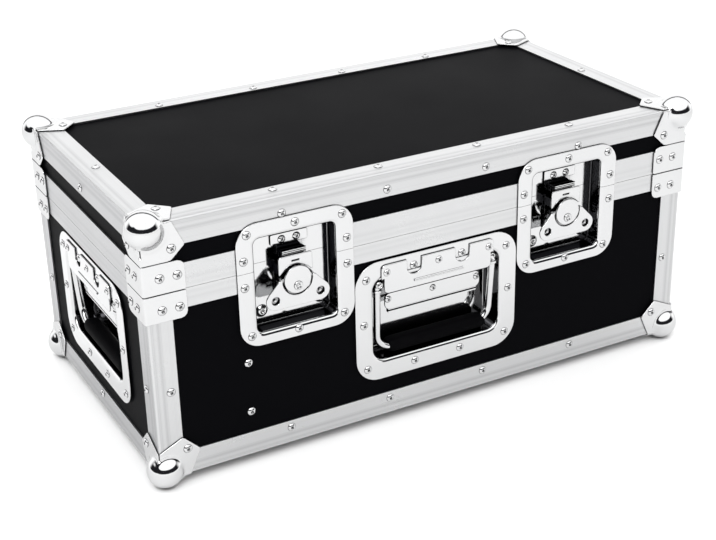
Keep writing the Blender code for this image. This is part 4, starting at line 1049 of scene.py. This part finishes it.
def baseSpots():
    spots = edgingSpots(case["bottom"], -1)
    spots += cornerSpots(case["bottom"], -1, rivetPlaces["cornerBase"], rivetPlaces["braceBase"])
    spots += hingeSpots(rivetPlaces["hingeBase"])
    inset, height = rivetPlaces["inset"] * mm, rivetPlaces["uprightHeight"] * mm
    spots += fourCorners([((inset, 0, height), (0, -1, 0), 1), ((0, inset, height), (-1, 0, 0), 1)])
    for holder in latchHolders.values():
        spots += onHolder(holder, rivetPlaces["latchFloor"], latch["depth"], 1.5)
        spots += onHolder(holder, rivetPlaces["latchBase"], latch["face"])
    rim = [(side * across, up) for side in (-1, 1) for across, up in rivetPlaces["handleRim"]]
    for holder in handleHolders.values():
        spots += onHolder(holder, rim, handle["face"])
        spots += onHolder(holder, rivetPlaces["hingePlate"], -2.6, 0.9)
        spots += onHolder(holder, rivetPlaces["stopPlate"], handle["stopDepth"][0], 0.85)
    for side in (-1, 1):
        out = side * (halfWidth - rivetPlaces["dividerIn"] * mm)
        for height in rivetPlaces["dividerHeights"]:
            spots.append(((rivetPlaces["divider"] * mm, out, height * mm), (0, side, 0), 1.05))
    return spots


# Stage, light and camera
stage = {
    "floor": (0.90, 0.90, 0.90),
    "floorCloud": (0.86, 0.86, 0.86),
    "world": 1.62,
    "dark": (-0.47, -0.88),  # the dark side of the studio, behind the camera
    "flagMiddle": 0.23,
    "flagHalf": 0.17,
    "frame": 0.74,  # a thin dark frame round the light behind the case
    "flagColour": (0.012, 0.012, 0.014),
    "lamp": (-1.2, -1.6, 2.2),
    "lampAim": (0, 0, 0.1),
    "lampSize": (1.6, 1.2),
    "lampPower": 30,
    "lens": 72.37,
    "azimuth": -28.003,
    "elevation": 25.204,
    "roll": -1.369,
    "camera": (-596.9, -1113.8, 677.9),
    "shift": (0.5, -0.5),  # pixels between the picture's middle and the optical axis
    "pictureWidth": 716,
}


def makeStage():
    bpy.ops.mesh.primitive_plane_add(size=12, location=(0, 0, 0))
    floor = bpy.context.object
    floor.name = "studioFloor"
    material, graph, place = newFinish("studioPaper")
    colour = graph.blend(graph.noise(place, 3, 2, 0.5) * 0.2, stage["floor"], stage["floorCloud"])
    endFinish(graph, {"Base Color": colour, "Roughness": 0.7, "Specular IOR Level": 0.2})
    floor.data.materials.append(material)

    world = bpy.data.worlds.new("studio")
    bpy.context.scene.world = world
    world.use_nodes = True
    graph = Graph(world.node_tree)
    along, away, rise = graph.add("ShaderNodeTexCoord").parts()
    toward = stage["dark"][0] * along + stage["dark"][1] * away
    half = stage["flagHalf"]
    flag = toward.over(-0.4, 0.0) * (1 - abs(rise - stage["flagMiddle"]).over(half, half + 0.06))
    flag = flag.most((1 - abs(toward + stage["frame"]).over(0.045, 0.085)) * rise.over(-0.02, 0.06))
    mirroredOnly = 1 - graph.add("ShaderNodeLightPath")  # the camera itself sees plain white
    glow = graph.blend(flag * mirroredOnly, (1, 1, 1), stage["flagColour"])
    back = graph.add("ShaderNodeBackground", {}, {"Color": glow, "Strength": stage["world"]})
    graph.add("ShaderNodeOutputWorld", {}, {"Surface": back})
    bpy.context.scene.view_settings.view_transform = "Standard"

    light = bpy.data.lights.new("keyLight", "AREA")
    light.shape = "RECTANGLE"
    light.size, light.size_y = stage["lampSize"]
    light.energy = stage["lampPower"]
    lamp = shapeOf(light, "keyLight")
    lamp.location = stage["lamp"]
    lamp.rotation_euler = (Vector(stage["lampAim"]) - lamp.location).to_track_quat("-Z", "Y").to_euler()


def makeCamera():
    azimuth, elevation, roll = (math.radians(stage[key]) for key in ("azimuth", "elevation", "roll"))
    flat = math.cos(elevation)
    back = Vector((math.sin(azimuth) * flat, -math.cos(azimuth) * flat, math.sin(elevation)))
    right = Vector((0, 0, 1)).cross(back).normalized()
    turned = Matrix((right, back.cross(right), back)).transposed() @ Matrix.Rotation(roll, 3, "Z")
    data = bpy.data.cameras.new("camera")
    data.lens = stage["lens"]
    data.sensor_width = 36
    data.shift_x, data.shift_y = (pixels / stage["pictureWidth"] for pixels in stage["shift"])
    camera = shapeOf(data, "camera")
    camera.matrix_world = Matrix.Translation(Vector(stage["camera"]) * mm) @ turned.to_4x4()
    bpy.context.scene.camera = camera


# Dressing the case
laminate = laminateFinish()
edging = edgingFinishes()
# after the name: roughness, ripple, the reach of the painted shade in gaps, the strength of the painted shade
# on dish walls, and the edge tint
plated = plateFinish("platedSteel", 0.10, 0.08 * mm, 7 * mm)
dished = plateFinish("pressedSteel", 0.08, 0.10 * mm, 9 * mm, 0.98, 0.4)
panned = plateFinish("panSteel", 0.08, 0.10 * mm, 5 * mm, 0.97)
cornered = plateFinish("cornerSteel", 0.07, 0.02 * mm, 4 * mm, 0, 0.85)
riveted = plateFinish("rivetSteel", 0.12, 0.02 * mm, 3 * mm)
rubber = rubberFinish()
repaint(["floor_panel", "lid_top_panel", "lid_walls"], laminate)
repaint([side + "_wall" for side in ("front", "back", "left", "right")], laminate)
repaint(["bottom_edging"], edging["bottom"])
repaint(["lid_top_edging"], edging["top"])
repaint(["upright_edge_" + corner for corner in cornerTurns], edging["upright"])
repaint(["base_closer", "base_closer_front", "lid_closer", "lid_closer_front"], edging["closer"])
repaint(["divider"], sheetFinish())
print("finishes ready")

for corner in cornerTurns:
    for body in ("base", "lid"):
        softPiece(body + "_brace_" + corner, case["braceEdge"], cornered, body)
cornerField = cornerTree()
lowCorner = ballCorner(cornerField, ball["near"], cornered)
highCorner = ballCorner(cornerField, ball["lidDrop"], cornered)
highCorner.transform(Matrix.Diagonal((1, 1, -1, 1)))
highCorner.flip_normals()
for corner, turn in cornerTurns.items():
    for body, mesh, level in (("base", lowCorner, "bottom"), ("lid", highCorner, "top")):
        copy = placed(mesh, holderAt(*cornerPlace(turn), case[level], turn))
        addPiece(body + "Corner." + corner, copy, cornered, body, [body + "_corner_" + corner])
print("corners ready")

upperDish, lowerDish = (polished(mesh, 55) for mesh in latchDishes())
latchParts = (  # name, mesh, height of its middle, finish, body and node
    ("UpperLatchDish", upperDish, 0, dished, "lid", "_latch_dish_upper"),
    ("LowerLatchDish", lowerDish, 0, dished, "base", "_latch_dish_lower"),
    ("LatchBackPlate", polished(latchBackPlate(), 45), latch["pivot"], dished, "base", "_latch_base"),
    ("LatchCap", polished(latchCap(), 45), latch["pivot"], plated, "_hub", "_latch_hub"),
    ("LatchWing", polished(latchWing(), 45), latch["pivot"], plated, "_wing", "_latch_wing"),
    ("LatchHook", polished(latchHook(), 45), latch["pivot"], dished, "_hook", "_latch_hook"),
)
for side, holder in latchHolders.items():
    for name, mesh, up, finish, body, node in latchParts:
        body = side + body if body.startswith("_") else body
        addPiece(side + name, placed(mesh, holder, up), finish, body, [side + node])
    for body in ("base", "lid"):
        softPiece(side + "_hinge_" + body + "_leaf", case["leafEdge"], plated, body)
print("latches and hinges ready")

dish, bail, grip = polished(handleDish(), 55), polished(handleBail(), 50), polished(rubberGrip(), 50)
for side, holder in handleHolders.items():
    swing = side + "_bail"
    addPiece(side + "HandleDish", placed(dish, holder), panned, "base", [side + "_handle_dish"])
    addPiece(side + "HandleBail", placed(bail, holder), plated, swing, [side + "_handle_bail"])
    addPiece(side + "HandleGrip", placed(grip, holder), rubber, swing, [side + "_handle_grip"])
print("handles ready")

tree = rivetTree()
rivetPiece("lidRivets", lidSpots(), tree, riveted, "lid")
rivetPiece("baseRivets", baseSpots(), tree, riveted, "base")
print("rivets ready")

makeStage()
makeCamera()
print("scene ready")
